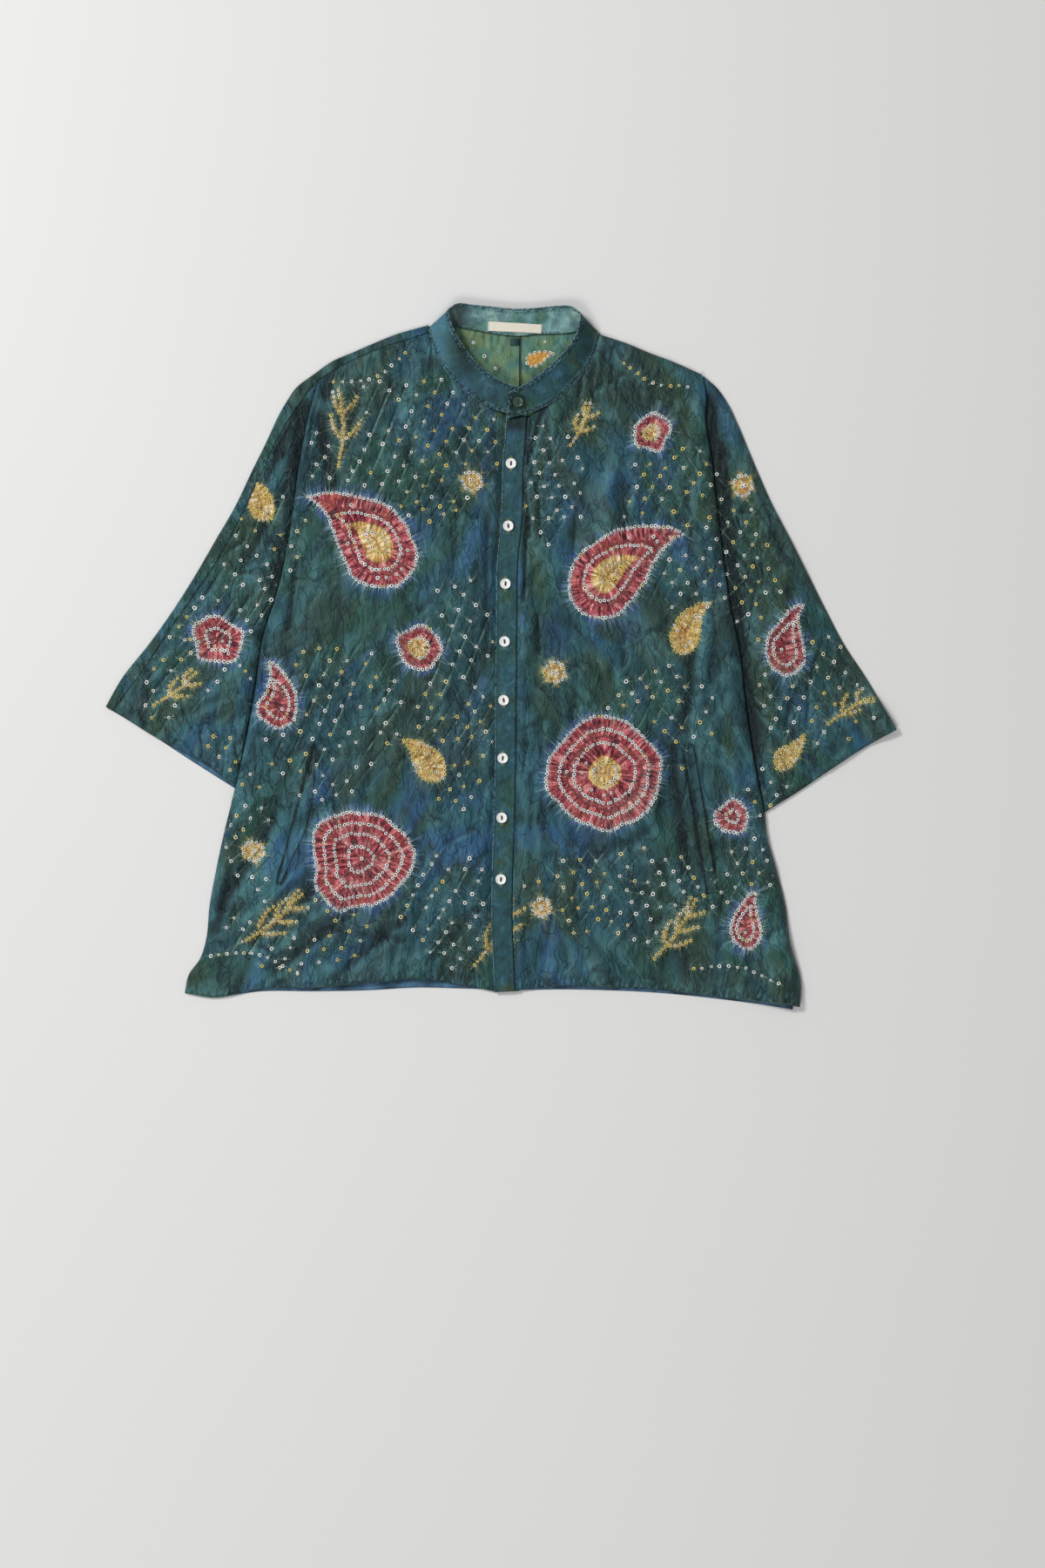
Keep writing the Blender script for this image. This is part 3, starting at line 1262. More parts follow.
def tied_silk(name, rings=False):
    """Silk with its dyed shapes. rings adds the pale ring of each knot, for the knots' own meshes."""
    dye = Dye(name)
    place = dye.place()
    crimson, golden = dye.attribute("crimson"), dye.attribute("golden")
    foot, knot = dye.attribute("foot", True), dye.attribute("knot", True)
    furrow, cross_furrow, creases = parts(dye, dye.attribute("folds", True))
    number_a, number_b, sway = parts(dye, dye.attribute("lattice", True))
    ragged = (dye.noise(place, 4.5, 1.0) - 0.5) * 4.0
    outwards = (place - (float(SHIFT[0]), float(SHIFT[1]), 0.0) - foot) * (1.0, 1.0, 0.0)
    outwards = outwards / (outwards.length() + 0.01)
    rays = dye.noise(foot + outwards * 3.4, 2.0, 1.0, 0.7)
    wrinkles = dye.noise(place, 15.0, 3.0, 0.55, 0.5, (1.0, 2.2, 1.0))
    wrinkle = (wrinkles - 0.5).size().step(0.035, 0.0)
    pleats = dye.noise(foot + place * 0.2, 3.2, 2.0, 0.6)
    hem = dye.attribute("hem")
    ticks = dye.noise(dye.turn(place, 14), 2.6, 1.0, 0.5, 0.0, (1.0, 4.0, 1.0))
    edge = crimson.math("MINIMUM", golden)
    near_gold = (golden - crimson).step(3.0, -3.0)
    blot = dye.noise(place + (40.0, 40.0, 0.0), 15.0, 1.0)
    flecks = dye.noise(place, 3.4, 1.0, 0.5, 0.0, (1.0, 1.6, 1.0))
    reach = 2.0 + rays.step(0.42, 0.74) * 17.0
    bleed = (edge / reach).step(1.0, 0.0) * rays.step(0.46, 0.62)
    red, gold = painted_shapes(dye, pleats, flecks, blot)
    colour = dye.coats(ground_colour(dye, place, creases + wrinkle * 0.35, sway), [
        (DARK, ticks.step(0.52, 0.62) * hem * 0.5),
        (PALE, ticks.step(0.47, 0.37) * hem * 0.4),
        (dye.blend("#4a6fa8", "#38498c", blot),
         (edge / 15.0).step(1.0, 0.0) * blot.step(0.46, 0.66) * (1.0 - near_gold) * 0.6),
        (dye.blend("#8fb0c4", "#949e62", near_gold), bleed * (0.5 - 0.25 * near_gold)),
        (red, (crimson + ragged).step(1.2, -1.2)),
        (gold, (golden + ragged * 0.5).step(1.2, -1.2) * flecks.step(0.28, 0.40, 0.35, 1.0)),
        (dye.blend("#b4c6e0", "#cfc488", near_gold),
         edge.size().step(4.0, 1.0) * rays.step(0.45, 0.62) * 0.45),
    ])

    near = parts(dye, knot)[2]
    knot = knot * (1.0, 1.0, 0.0)
    distance = knot.length()
    around = knot / (distance + 0.01)
    beads = dye.noise(foot, 2.2, 0.0).step(0.42, 0.52)
    rows = [(crimson + inside).size().step(2.2, 1.2) for inside in (0.0, 14.0)]
    rows = (rows[0] + rows[1] + golden.size().step(1.4, 0.6) * 0.7) * beads
    ringed = distance.step(2.6, 2.1) * distance.step(0.7, 1.2) * near.step(5.2, 4.4)
    rays_of_knot = dye.noise(around * 2.6 + place * 0.02, 1.0, 2.0)
    off = [(number - number.math("ROUND")) * LATTICE_STEP for number in (number_a, number_b)]
    dark, light, dips = lattice_lines(off, (furrow, cross_furrow))
    colour = dye.coats(colour, [
        (dye.blend("#e3ebe2", "#e2c983", near_gold), (rows * 0.7 + ringed) * dye.attribute("painted") * 0.85),
        ("#a9c4b4", distance.step(7.5, 2.2) * rays_of_knot.step(0.52, 0.7) * 0.5),
        (DARK, dips * 0.15),
        ("#13282b", dark * 0.45),
        ("#7aa392", light * wrinkles.step(0.42, 0.60, 0.0, 0.5)),
    ])

    puckers = distance.step(9.0, 1.5) * rays_of_knot
    height = silk_weave(dye, place) - dips * 0.8 + puckers * 1.2 - wrinkle * 0.9 + wrinkles * 5.0
    height = height + pleats * edge.step(2.0, -1.0) * 1.6 + rays * edge.step(16.0, 0.0) * 1.1
    roughness = flecks * 0.14 + 0.42
    if rings:
        ring, tint = dye.attribute("ring"), dye.attribute("tint")
        uneven = dye.noise(place, 1.5, 1.0)
        pale = dye.coats(dye.blend("#eef4ec", "#ffffff", uneven), [
            ("#efd978", tint.step(0.30, 0.75)),
            ("#a3b4b4", uneven.step(0.42, 0.28, 0.0, 0.45)),
        ])
        rim = ring + (uneven - 0.5) * 0.3
        colour = dye.coats(colour, [
            ("#142226", ring.step(0.60, 0.46) * 0.95),
            (pale, rim.step(0.44, 0.54) * rim.step(0.99, 0.84)),
        ])
        height = silk_weave(dye, place)
    return dye.finish(colour, roughness, height, sheen=0.05, sheen_colour="#b8d0d8", Specular_IOR_Level=0.22)


silk_finish = tied_silk("tied_silk")
knot_finish = tied_silk("tied_silk_knots", rings=True)
print("nodes in the silk:", len(silk_finish.node_tree.nodes))

# %% [markdown]
# Inside the neck the wrong side of the back shows. The dyes are paler and greener there. The collar and the
# placket are cut from plainer cloth, in clouds of teal and blue with small dark flecks along the sewing.


# %% Finishes of the inside and of the bands
BACK_SEAM_X = 6.0


def inside_silk():
    """The wrong side of the back, with the shadow of its seam and a fan of small pleats below the band."""
    dye = Dye("inside_silk")
    place = dye.place()
    clouds = dye.noise(place, 26.0, 3.0, 0.6, 0.4)
    streaks = dye.noise(place, 8.0, 3.0, 0.6, 0.3, (1.0, 2.0, 1.0))
    across, down = parts(dye, place)[:2]
    seam = (across - float(SHIFT[0] + BACK_SEAM_X + 1.2)).size()
    fan = dye.noise(place, 5.0, 1.0, 0.5, 0.0, (1.0, 9.0, 1.0))
    near_band = down.step(float(SHIFT[1]) + 700.0, float(SHIFT[1]) + 719.0)
    low = dye.ramp(clouds, [(0.36, "#223a4a"), (0.5, "#3a5a72"), (0.64, "#4f7898")])
    gold = dye.ramp(dye.noise(place, 3.0, 2.0), [(0.3, "#b07a34"), (0.6, "#cf9b4c"), (0.8, "#dfbf84")])
    ragged = (dye.noise(place, 3.5, 2.0) - 0.5) * 6.0
    ground = dye.ramp(clouds, [(0.32, "#477872"), (0.45, "#577e6c"), (0.58, "#658260"), (0.72, "#74845a")])
    colour = dye.coats(ground, [
        ("#2c4b44", streaks.step(0.52, 0.30, 0.0, 0.7)),
        ("#7ba592", streaks.step(0.54, 0.74, 0.0, 0.55)),
        ("#15231f", seam.step(1.5, 0.9) * 0.9),
        ("#1f3630", near_band * fan.step(0.52, 0.36) * 0.4),
        ("#8fb59f", near_band * fan.step(0.54, 0.68) * 0.2),
        (low, down.step(60.0, -60.0)),
        (gold, (dye.attribute("leaf") + ragged).step(1.5, -1.5)),
    ])
    return dye.finish(colour, 0.55, silk_weave(dye, place) * 0.8, sheen=0.05, Specular_IOR_Level=0.2)


def band_silk():
    """The plainer silk of the collar and the placket, with what the sewing did along their edges."""
    dye = Dye("band_silk")
    place = dye.place()
    clouds = dye.noise(place, 30.0, 3.0, 0.55, 0.5)
    streaks = dye.noise(place, 11.0, 3.0, 0.6, 0.4)
    across = parts(dye, place)[0]
    middle = float(SHIFT[0])
    edge = dye.attribute("edge")
    flecks = dye.noise(place, 3.0, 1.0)
    ticks = dye.noise(place, 2.6, 1.0)
    gathered = edge.step(7.0, 2.0) * dye.attribute("gathered")
    faded = dye.ramp(clouds, [(0.34, "#4c7668"), (0.46, "#64918a"), (0.56, "#7ba6aa"), (0.70, "#a2c2ae")])
    ground = dye.ramp(clouds, [(0.30, OLIVE), (0.40, GREEN), (0.50, TEAL), (0.62, TEAL), (0.74, BLUE)])
    colour = dye.coats(ground, [
        (DARK, streaks.step(0.52, 0.28, 0.0, 0.6)),
        ("#4a7c92", streaks.step(0.52, 0.76, 0.0, 0.5)),
        (DARK, across.step(middle + 35.0, middle + 85.0) * 0.35),
        ("#4f8298", across.step(middle - 62.0, middle - 80.0) * 0.5),
        (faded, dye.attribute("inner") * streaks.step(0.36, 0.60, 0.45, 0.9)),
        ("#10211f", dye.attribute("worn") * 0.85),
        ("#122530", ticks.step(0.52, 0.62) * gathered * 0.8),
        ("#7396a0", ticks.step(0.46, 0.36) * gathered * 0.45),
        ("#7fa3b4", edge.step(1.1, 0.3) * flecks.step(0.34, 0.62) * 0.7),
        ("#132629", edge.step(0.8, 1.5) * edge.step(2.9, 1.9) * 0.4),
    ])
    height = silk_weave(dye, place) + ticks * gathered * 3.0 - edge.step(3.2, 1.9) * edge.step(0.6, 1.8) * 0.8
    return dye.finish(colour, 0.5, height, sheen=0.05, Specular_IOR_Level=0.22)


def loop_silk():
    """The dark folded silk of the hanging loop."""
    dye = Dye("loop_silk")
    shade = dye.noise(dye.place(), 3.0)
    return dye.finish(dye.blend("#14282c", "#2a4c50", shade), 0.5, Specular_IOR_Level=0.22)


inside_finish = inside_silk()
band_finish = band_silk()
print("materials so far:", len(bpy.data.materials))

# %% [markdown]
# ## Fronts
# The two fronts show most. The right one runs under the placket, and the left one is sewn to it. At the
# sleeves their edges fold over the armhole seam, and at the hem both stand a little off the back.

# %% Fronts
HALF_GAP = 0.15
BACK_GAP = 0.04
PLACKET_WIDTH = 23.0
PLACKET_FACE = 4.8
UNDER_START = 3.0
UNDER_COLLAR = 2.5
EDGE_FACE = 2.7
TURNED_FACE = 4.2
ARM_SHARE = 0.66
NECK_SHARE = 0.45
HEM_DEPTH = 14.0
FRONT_COLUMNS = np.linspace(0, 1, 133)
FRONT_ROWS = np.linspace(0, 1, 281)


def level(height):
    """A rim whose face lies at one height."""
    return lambda x, y: np.full_like(x, height)


def hem_face(x, y):
    """The hem keeps most of the folds that run into it."""
    return EDGE_FACE + 0.8 * fold_height(FRONT_FOLDS, x, y) + 0.5 * soft_noise(x, y, 16, 11)


def side_face(x, y):
    """Over the sleeve the edge stands on the armhole seam, and below it on the side seam."""
    return np.where(y > 210, 5.4, 1.6)


def shoulder_face(x, y):
    """The shoulder's rim comes down from the collar's height to its own at the first fifth."""
    start, end = (LINES["shoulder_edge_left"](np.array(t))[0] for t in (0.0, 0.2))
    share = np.clip((x - start) / (end - start), 0, 1)
    return TURNED_FACE + (1.6 - TURNED_FACE) * share * share * (3 - 2 * share)


front_edges = {
    "front_right": outline(
        beside(LINES["placket_edge"], UNDER_START - HALF_GAP),
        chain(beside(LINES["armhole_right"], HALF_GAP), beside(LINES["side_right"], HALF_GAP), ARM_SHARE),
        chain(
            beside(LINES["neck_front_right"], -UNDER_COLLAR), beside(LINES["shoulder_seam_right"], HALF_GAP),
            NECK_SHARE),
        LINES["hem_front_right"],
    ),
    "front_left": outline(
        beside(LINES["placket_edge"], PLACKET_WIDTH + HALF_GAP),
        chain(beside(LINES["armhole_left"], -HALF_GAP), beside(LINES["side_left"], -HALF_GAP), ARM_SHARE),
        chain(beside(LINES["neck_front_left"], UNDER_COLLAR), LINES["shoulder_edge_left"], NECK_SHARE),
        LINES["hem_front_left"],
    ),
}
front_rims = {
    "front_right": {"top": (level(TURNED_FACE), 0, 9), "bottom": (hem_face, 0, 7),
                    "inner": (level(EDGE_FACE), UNDER_START + 3, 8), "outer": (side_face, 0, 9)},
    "front_left": {"top": (shoulder_face, 0, 9), "bottom": (hem_face, 0, 7),
                   "inner": (level(PLACKET_FACE), 3, 8), "outer": (side_face, 0, 9)},
}
faces = {}


def make_panel(node, face, valleys):
    """A panel piece from its grid, with its thickness and dyes, declared as a laid sheet."""
    name = node + "_cloth"
    above_hem = np.linalg.norm(face[:, :, :2] - face[-1:, :, :2], axis=-1)
    piece = grid_piece(name, face, silk_finish, [node])
    x, y = plan_of(piece).T[:2]
    give_dyes(piece, worn=np.clip(-0.6 * fold_height(valleys, x, y), 0, 1.5))
    if len(x) == above_hem.size:
        give(piece, "hem", np.clip(1.25 - above_hem.ravel() / HEM_DEPTH, 0, 1))
    thicken(piece)
    faces[name] = face
    print(name, "has", len(piece.data.polygons), "quads on its face")


for name, flat, area in (("front_right", (0.354, 0.724), 0.181), ("front_left", (0.314, 0.733), 0.172)):
    face = upper_face(front_edges[name], FRONT_COLUMNS, FRONT_ROWS, FRONT_FOLDS, front_rims[name])
    make_panel(name, face, SLITS)

# %% [markdown]
# ## Sleeves
# A sleeve is a long wedge that comes to a point at the shoulder. Its front lies on its back, and on the
# wearer's right the back piece turns over the arm.


# %% Sleeve fronts
TIP_SHARE = 0.006


def sleeve_outline(inner, outer, bottom):
    """The two long edges meet in a tip at the shoulder."""
    near = np.array(TIP_SHARE)
    tip = (inner(near) + outer(near)) / 2

    def tipped(curve):
        return lambda t: np.where((np.asarray(t) == 0)[..., None], tip, curve(t))
    return outline(tipped(inner), tipped(outer), lambda t: tip + 0 * np.asarray(t)[..., None], bottom)


SLEEVE_COLUMNS = np.linspace(0, 1, 81)
SLEEVE_ROWS = np.linspace(0, 1, 171)
sleeve_edges = {
    "sleeve_right_front": sleeve_outline(
        beside(LINES["armhole_right"], -HALF_GAP), beside(LINES["overarm_seam_right"], HALF_GAP),
        LINES["cuff_front_right"]),
    "sleeve_left_front": sleeve_outline(
        beside(LINES["armhole_left"], HALF_GAP), LINES["overarm_edge_left"], LINES["cuff_left"]),
}


def cuff_face(x, y):
    """The cuff keeps most of the folds that run into it."""
    return EDGE_FACE + 0.6 * fold_height(SLEEVE_FOLDS, x, y) + 0.4 * soft_noise(x, y, 14, 12)


sleeve_rims = {
    "sleeve_right_front": {"top": (level(TURNED_FACE), 0, 9), "bottom": (cuff_face, 0, 6),
                           "inner": (level(2.9), 0, 14), "outer": (level(TURNED_FACE), 0, 8)},
    "sleeve_left_front": {"top": (level(TURNED_FACE), 0, 9), "bottom": (cuff_face, 0, 6),
                          "inner": (level(2.6), 0, 20), "outer": (level(1.6), 0, 8)},
}
for name, flat, area in (
    ("sleeve_right_front", (0.148, 0.454), 0.0319),
    ("sleeve_left_front", (0.158, 0.482), 0.0395),
):
    edges, rims = sleeve_edges[name], sleeve_rims[name]
    face = upper_face(edges, SLEEVE_COLUMNS, SLEEVE_ROWS, SLEEVE_FOLDS + VALLEYS, rims)
    make_panel(name, face, VALLEYS)

# %% [markdown]
# ## Backs
# The back lies flat on the table, with its right side down, so its mesh is that underside and its thickness
# goes up. Over the right shoulder and the right arm it turns round onto the front, as far as the seam.

# %% Backs
FOLD_RADIUS = 2.1
BEND = np.radians(np.arange(15, 181, 15))
BACK_ROWS = np.linspace(0, 1, 201)
SHOULDER_COUNT = 52
NECK_COLUMNS = np.linspace(0, NECK_SHARE, 40)[:-1]
BACK_COLUMNS = np.concatenate([NECK_COLUMNS, np.linspace(NECK_SHARE, 1, SHOULDER_COUNT)])


def under_face(edges, columns, rows):
    """Points of a back panel's underside: on the table, apart from the corners that stand clear of it."""
    plan = grid(edges, columns, rows)[2]
    return np.concatenate([plan, lift_height(plan[..., 0], plan[..., 1])[..., None]], -1)


def turned_face(edge, seam, stations, cells=6):
    """Points round the fold, at FOLD_RADIUS * (1 - cos) of height, and then across to the seam."""
    start, end = edge(stations), seam(stations)
    way = end - start
    width = np.linalg.norm(way, axis=-1, keepdims=True)
    way /= width
    inward = np.concatenate([FOLD_RADIUS * (1 - np.sin(BEND)), np.zeros(cells)])
    rounds = len(BEND)
    share = np.linspace(0, 1, cells + 1)[1:]
    reach = np.repeat(inward[None], len(stations), 0)
    reach[:, rounds:] = FOLD_RADIUS + (width - FOLD_RADIUS) * share
    z = np.concatenate([FOLD_RADIUS * (1 - np.cos(BEND)), np.full(cells, TURNED_FACE)])
    plan = start[:, None] + way[:, None] * reach[..., None]
    z = np.broadcast_to(z, plan.shape[:2]).copy()
    unevenness = soft_noise(plan[:, rounds:, 0], plan[:, rounds:, 1], 7, 21)
    z[:, rounds:] += 0.35 * unevenness * np.sin(np.pi * share)
    return np.concatenate([plan, z[..., None]], -1)


def lower_panel(node, edges, columns, rows, strip=None):
    """A back panel with the strip that turns over its edge, declared as a laid sheet."""
    name = node + "_cloth"
    face = under_face(edges, columns, rows)
    points, quads = face.reshape(-1, 3), grid_faces(*face.shape[:2], flip=faces_up(face))
    if strip is not None:
        first = face[0, -len(strip):] if strip.shape[0] == SHOULDER_COUNT else face[:, -1]
        band = np.concatenate([first[:, None], strip], 1)
        more = grid_faces(*band.shape[:2], start=len(points), flip=not faces_up(band[:, -4:]))
        points = np.concatenate([points, band.reshape(-1, 3)])
        quads = np.concatenate([quads, more])
    piece = piece_from(name, points, quads, silk_finish, [node])
    piece.data.materials.append(inside_finish)
    give_dyes(piece, back=True)
    thicken(piece).modifiers["thickness"].material_offset = 1
    print(name, "has", len(piece.data.polygons), "quads")


fold_right = beside(LINES["shoulder_edge_right"], FOLD_RADIUS)
back_armhole_right = pinned(
    LINES["armhole_right"], fold_right(np.array(1.0)), LINES["armhole_right"](np.array(1.0)))
back_side_left = chain(beside(LINES["armhole_left"], -BACK_GAP), beside(LINES["side_left"], -1), ARM_SHARE)
lower_panel(
    "back_right",
    outline(
        beside(LINES["back_seam"], -BACK_GAP),
        chain(beside(back_armhole_right, BACK_GAP), beside(LINES["side_right"], 1), ARM_SHARE),
        chain(beside(LINES["neck_back_right"], -UNDER_COLLAR), fold_right, NECK_SHARE),
        LINES["hem_back_right"],
    ),
    BACK_COLUMNS, BACK_ROWS,
    turned_face(
        LINES["shoulder_edge_right"], beside(LINES["shoulder_seam_right"], -HALF_GAP),
        np.linspace(0, 1, SHOULDER_COUNT)),
)
lower_panel(
    "back_left",
    outline(
        beside(LINES["back_seam"], BACK_GAP),
        pinned(back_side_left, back_side_left(np.array(0.0)), LINES["hem_back_left"](np.array(1.0))),
        chain(
            beside(LINES["neck_back_left"], UNDER_COLLAR), beside(LINES["shoulder_edge_left"], -1),
            NECK_SHARE),
        LINES["hem_back_left"],
    ),
    BACK_COLUMNS, BACK_ROWS,
)

# %% Sleeve backs
ARM_STATIONS = np.linspace(0, 1, 121)
ARM_COLUMNS = np.linspace(0, 1, 61)
lower_panel(
    "sleeve_right_back",
    sleeve_outline(
        beside(back_armhole_right, -BACK_GAP), beside(LINES["overarm_edge_right"], FOLD_RADIUS),
        LINES["cuff_back_right"]),
    ARM_COLUMNS, ARM_STATIONS,
    turned_face(
        LINES["overarm_edge_right"], beside(LINES["overarm_seam_right"], -HALF_GAP),
        np.maximum(ARM_STATIONS, 0.001)),
)
lower_panel(
    "sleeve_left_back",
    sleeve_outline(
        beside(LINES["armhole_left"], BACK_GAP), beside(LINES["overarm_edge_left"], -1), LINES["cuff_left"]),
    ARM_COLUMNS, ARM_STATIONS,
)

# %% [markdown]
# ## Knots on the cloth
# Each knot is a tiny crater: a ring that stands up round a sunk middle. They all have the same few faces,
# turned into the slope of the cloth at their place, and they are joined into one mesh for each panel.

# %% Knots
KNOT_RADIUS = 2.6
KNOT_SIDES = 10
KNOT_RINGS = [
    # share of the radius, height in mm
    (1.0, -0.15),
    (0.76, 0.60),
    (0.48, 0.35),
]
SEATED_AT_ONCE = 200
SEAT_REACH = 4.0
STEEPEST = 0.3


def upward(face):
    """The unit normals of a grid, on its upper side: across the slopes down and across it."""
    normal = np.cross(np.gradient(face, axis=0), np.gradient(face, axis=1))
    length = np.maximum(np.linalg.norm(normal, axis=-1, keepdims=True), LEAST_LENGTH)
    return normal * (np.sign(normal[..., 2:]) / length)


def seat(face, places, margin=2):
    """Where places fall on a panel's grid, from the nearest grid point and the slope there."""
    points = face.reshape(-1, 3)
    rows, columns = face.shape[:2]
    nearest = np.empty(len(places), int)
    for start in range(0, len(places), SEATED_AT_ONCE):
        gaps = ((places[start:start + SEATED_AT_ONCE, None] - points[:, :2]) ** 2).sum(-1)
        nearest[start:start + SEATED_AT_ONCE] = gaps.argmin(1)
    gap = places - points[nearest, :2]
    i, j = nearest // columns, nearest % columns
    inside = (i >= margin) & (i < rows - margin) & (j >= margin) & (j < columns - margin)
    inside &= np.linalg.norm(gap, axis=1) < SEAT_REACH
    n = upward(face).reshape(-1, 3)[nearest]
    z = points[nearest, 2] - (gap * n[:, :2]).sum(1) / np.maximum(n[:, 2], STEEPEST)
    return np.column_stack([places, z])[inside], n[inside], inside


def craters(middles, normals, spins, radius):
    """Rings of points round each middle, in the plane across its normal, with a point below and one above."""
    side = np.cross(normals, np.array([0.0, 1.0, 0.0]))
    side /= np.linalg.norm(side, axis=1, keepdims=True)
    other = np.cross(normals, side)
    angle = spins[:, None] + np.arange(KNOT_SIDES) * 2 * np.pi / KNOT_SIDES
    ways = np.cos(angle)[..., None] * side[:, None] + np.sin(angle)[..., None] * other[:, None]
    rng = np.random.default_rng(len(middles))
    uneven = rng.uniform(0.78, 1.18, angle.shape)
    uneven = ((uneven + np.roll(uneven, 1, axis=1)) / 2)[..., None]
    rings = [middles[:, None] + radius[:, None, None] * share * uneven * ways + height * normals[:, None]
             for share, height in KNOT_RINGS]
    below = (middles - 0.3 * normals)[:, None]
    above = (middles - 0.10 * normals)[:, None]
    return np.concatenate([below, *rings, above], 1)


def crater_faces():
    """Triangles of one crater: a fan below, two bands between the rings, and a fan on top."""
    k = np.arange(KNOT_SIDES)
    after = (k + 1) % KNOT_SIDES
    ring = [1 + n * KNOT_SIDES for n in range(len(KNOT_RINGS))]
    top = 1 + len(KNOT_RINGS) * KNOT_SIDES
    parts = [np.stack([0 * k, ring[0] + k, ring[0] + after], -1)]
    for low, high in zip(ring, ring[1:]):
        parts.append(np.stack([low + k, high + k, high + after], -1))
        parts.append(np.stack([low + k, high + after, low + after], -1))
    parts.append(np.stack([ring[-1] + k, 0 * k + top, ring[-1] + after], -1))
    return np.concatenate(parts)


def copies(faces, count, points_each):
    """The faces of one small shape, numbered on for each of its copies."""
    return (faces[None] + points_each * np.arange(count)[:, None, None]).reshape(-1, 3)


def knot_piece(name, middles, normals, golden, sizes, plain=False):
    """One mesh of craters, each with its radius, how far each point is from its middle, and its tint."""
    rng = np.random.default_rng(len(name))
    radius = KNOT_RADIUS * sizes * rng.uniform(0.76, 1.12, len(middles))
    points = craters(middles, normals, rng.uniform(0, 1, len(middles)), radius)
    per_knot = points.shape[1]
    triangles = copies(crater_faces(), len(middles), per_knot)
    piece = piece_from(name, points.reshape(-1, 3), triangles, knot_finish, None)
    shares = np.concatenate([[1.0], *[[share] * KNOT_SIDES for share, height in KNOT_RINGS], [0.0]])
    give(piece, "ring", np.tile(shares, len(middles)))
    give(piece, "tint", np.repeat(golden + rng.normal(0, 0.16, len(middles)), per_knot))
    give_dyes(piece, plain)
    print(name, "has", len(middles), "knots")


def knots_on(name, face):
    """The knots that fall on one panel, each a little out of place."""
    rng = np.random.default_rng(len(name) + 1)
    middles, normals, inside = seat(face, knots[:, :2])
    middles[:, :2] += rng.normal(0, 0.35, (len(middles), 2))
    knot_piece(name, middles, normals, knots[inside, 2], knots[inside, 3])


for panel in list(faces):
    knots_on(panel.replace("_cloth", "_knots"), faces[panel])
count = len(neck_knots)
knot_piece("neck_inside_knots", np.column_stack([neck_knots, np.full(count, CLOTH)]),
           np.tile([0.0, 0.0, 1.0], (count, 1)), np.full(count, 0.3), np.full(count, 0.8), True)

# %% [markdown]
# ## Placket
# The placket is a strip of two layers down the front. Its left edge lies free on the strip below, and its
# right edge is sewn to the left front. It ripples a little between the buttons.


# %% Placket
PLACKET_COLUMNS = np.linspace(0, 1, 19)
PLACKET_ROWS = np.linspace(0, 1, 301)


def strip_face(start, end, face, ripple):
    """A strip between two distances from the placket's edge, rippled a little, with rounded rims."""
    inner, outer = beside(LINES["placket_edge"], start), beside(LINES["placket_edge"], end)
    u, v = np.meshgrid(PLACKET_COLUMNS, PLACKET_ROWS)
    plan = inner(v) + u[..., None] * (outer(v) - inner(v))
    plan[0, :, 1] += UNDER_COLLAR
    x, y = plan[..., 0], plan[..., 1]
    edge = np.minimum(u, 1 - u) * (end - start)
    waves = soft_noise(x, y, 22, 31, 1.6) + 0.5 * soft_noise(x, y, 8, 32)
    z = face + ripple * waves * np.minimum(edge / 4, 1)
    z -= 0.7 * np.maximum(1 - edge / 1.2, 0) ** 2
    return np.stack([x, y, z], -1)


for name, start, end, height, thickness, ripple in (
    ("placket_under", UNDER_START + HALF_GAP, UNDER_START + PLACKET_WIDTH, EDGE_FACE, 0.7, 0.0),
    ("placket_top", 0.0, PLACKET_WIDTH - HALF_GAP, PLACKET_FACE, 1.0, 0.45),
):
    face = strip_face(start, end, height, ripple)
    piece = grid_piece(name + "_cloth", face, band_finish, [name])
    from_left = np.linspace(0, end - start, face.shape[1])
    give(piece, "edge", np.broadcast_to(from_left, face.shape[:2]).ravel())
    give(piece, "worn", np.clip((face[..., 1] - 612) / 8, 0, 1).ravel())
    thicken(piece, thickness)
    faces[name] = face
    print(piece.name, "is", round(end - start, 1), "mm wide")

# %% [markdown]
# ## Collar
# The collar band stands up round the neck. Its section is a rounded bar carried along two curves: the seam
# at the neck and the free edge. At the front one end lies over the other.

# %% Collar
COLLAR_SECTIONS = np.array([
    # seam x, y, free edge x, y, height of the band's middle at the seam and at the free edge
    (14, 632, 11, 661, 5.8, 11.0), (-12, 636, -7, 666, 5.6, 13.0), (-32, 644, -25, 676, 5.4, 14.5),
    (-51, 657, -41, 690, 5.4, 15.5), (-69, 674, -54, 706, 5.4, 16.5), (-82, 693, -64, 723, 5.4, 17.5),
    (-90, 714, -69, 736, 5.3, 18.0), (-92, 727, -70, 746, 4.6, 16.5), (-79, 731, -62, 753, 3.2, 13.0),
    (-52, 727, -43, 752, 2.5, 11.5), (-24, 722, -21, 750, 2.5, 10.5), (2, 719, 2, 748, 2.5, 10.5),
    (28, 721, 26, 749, 2.5, 10.5), (57, 722, 47, 751, 2.5, 11.5), (80, 725, 63, 750, 3.2, 13.0),
    (92, 722, 71, 743, 4.6, 16.5), (91, 708, 71, 730, 5.3, 18.0), (84, 690, 63, 711, 5.4, 18.0),
    (68, 669, 48, 694, 5.5, 17.5), (52, 653, 32, 679, 5.8, 17.0), (30, 640, 16, 668, 6.9, 16.5),
    (9, 633, 4, 661, 8.0, 15.4), (-7, 629, -5, 657, 8.2, 15.0),
])
BAND_HALF = 0.75
COLLAR_BUTTON_PLAN = (2.6, 646.2)
INNER_SHADES = [
    # where the band's inner side bends away from the lamp: from x, y, to x, y, half width, depth
    (-59, 748, -59, 720, 12, 1.0),
]
OUTER_SHADES = [
    # the same for its outer side
    (-61, 712, -50, 684, 10, 0.85), (78, 722, 82, 700, 10, 0.4),
]
BAND_HEIGHT = 31.0
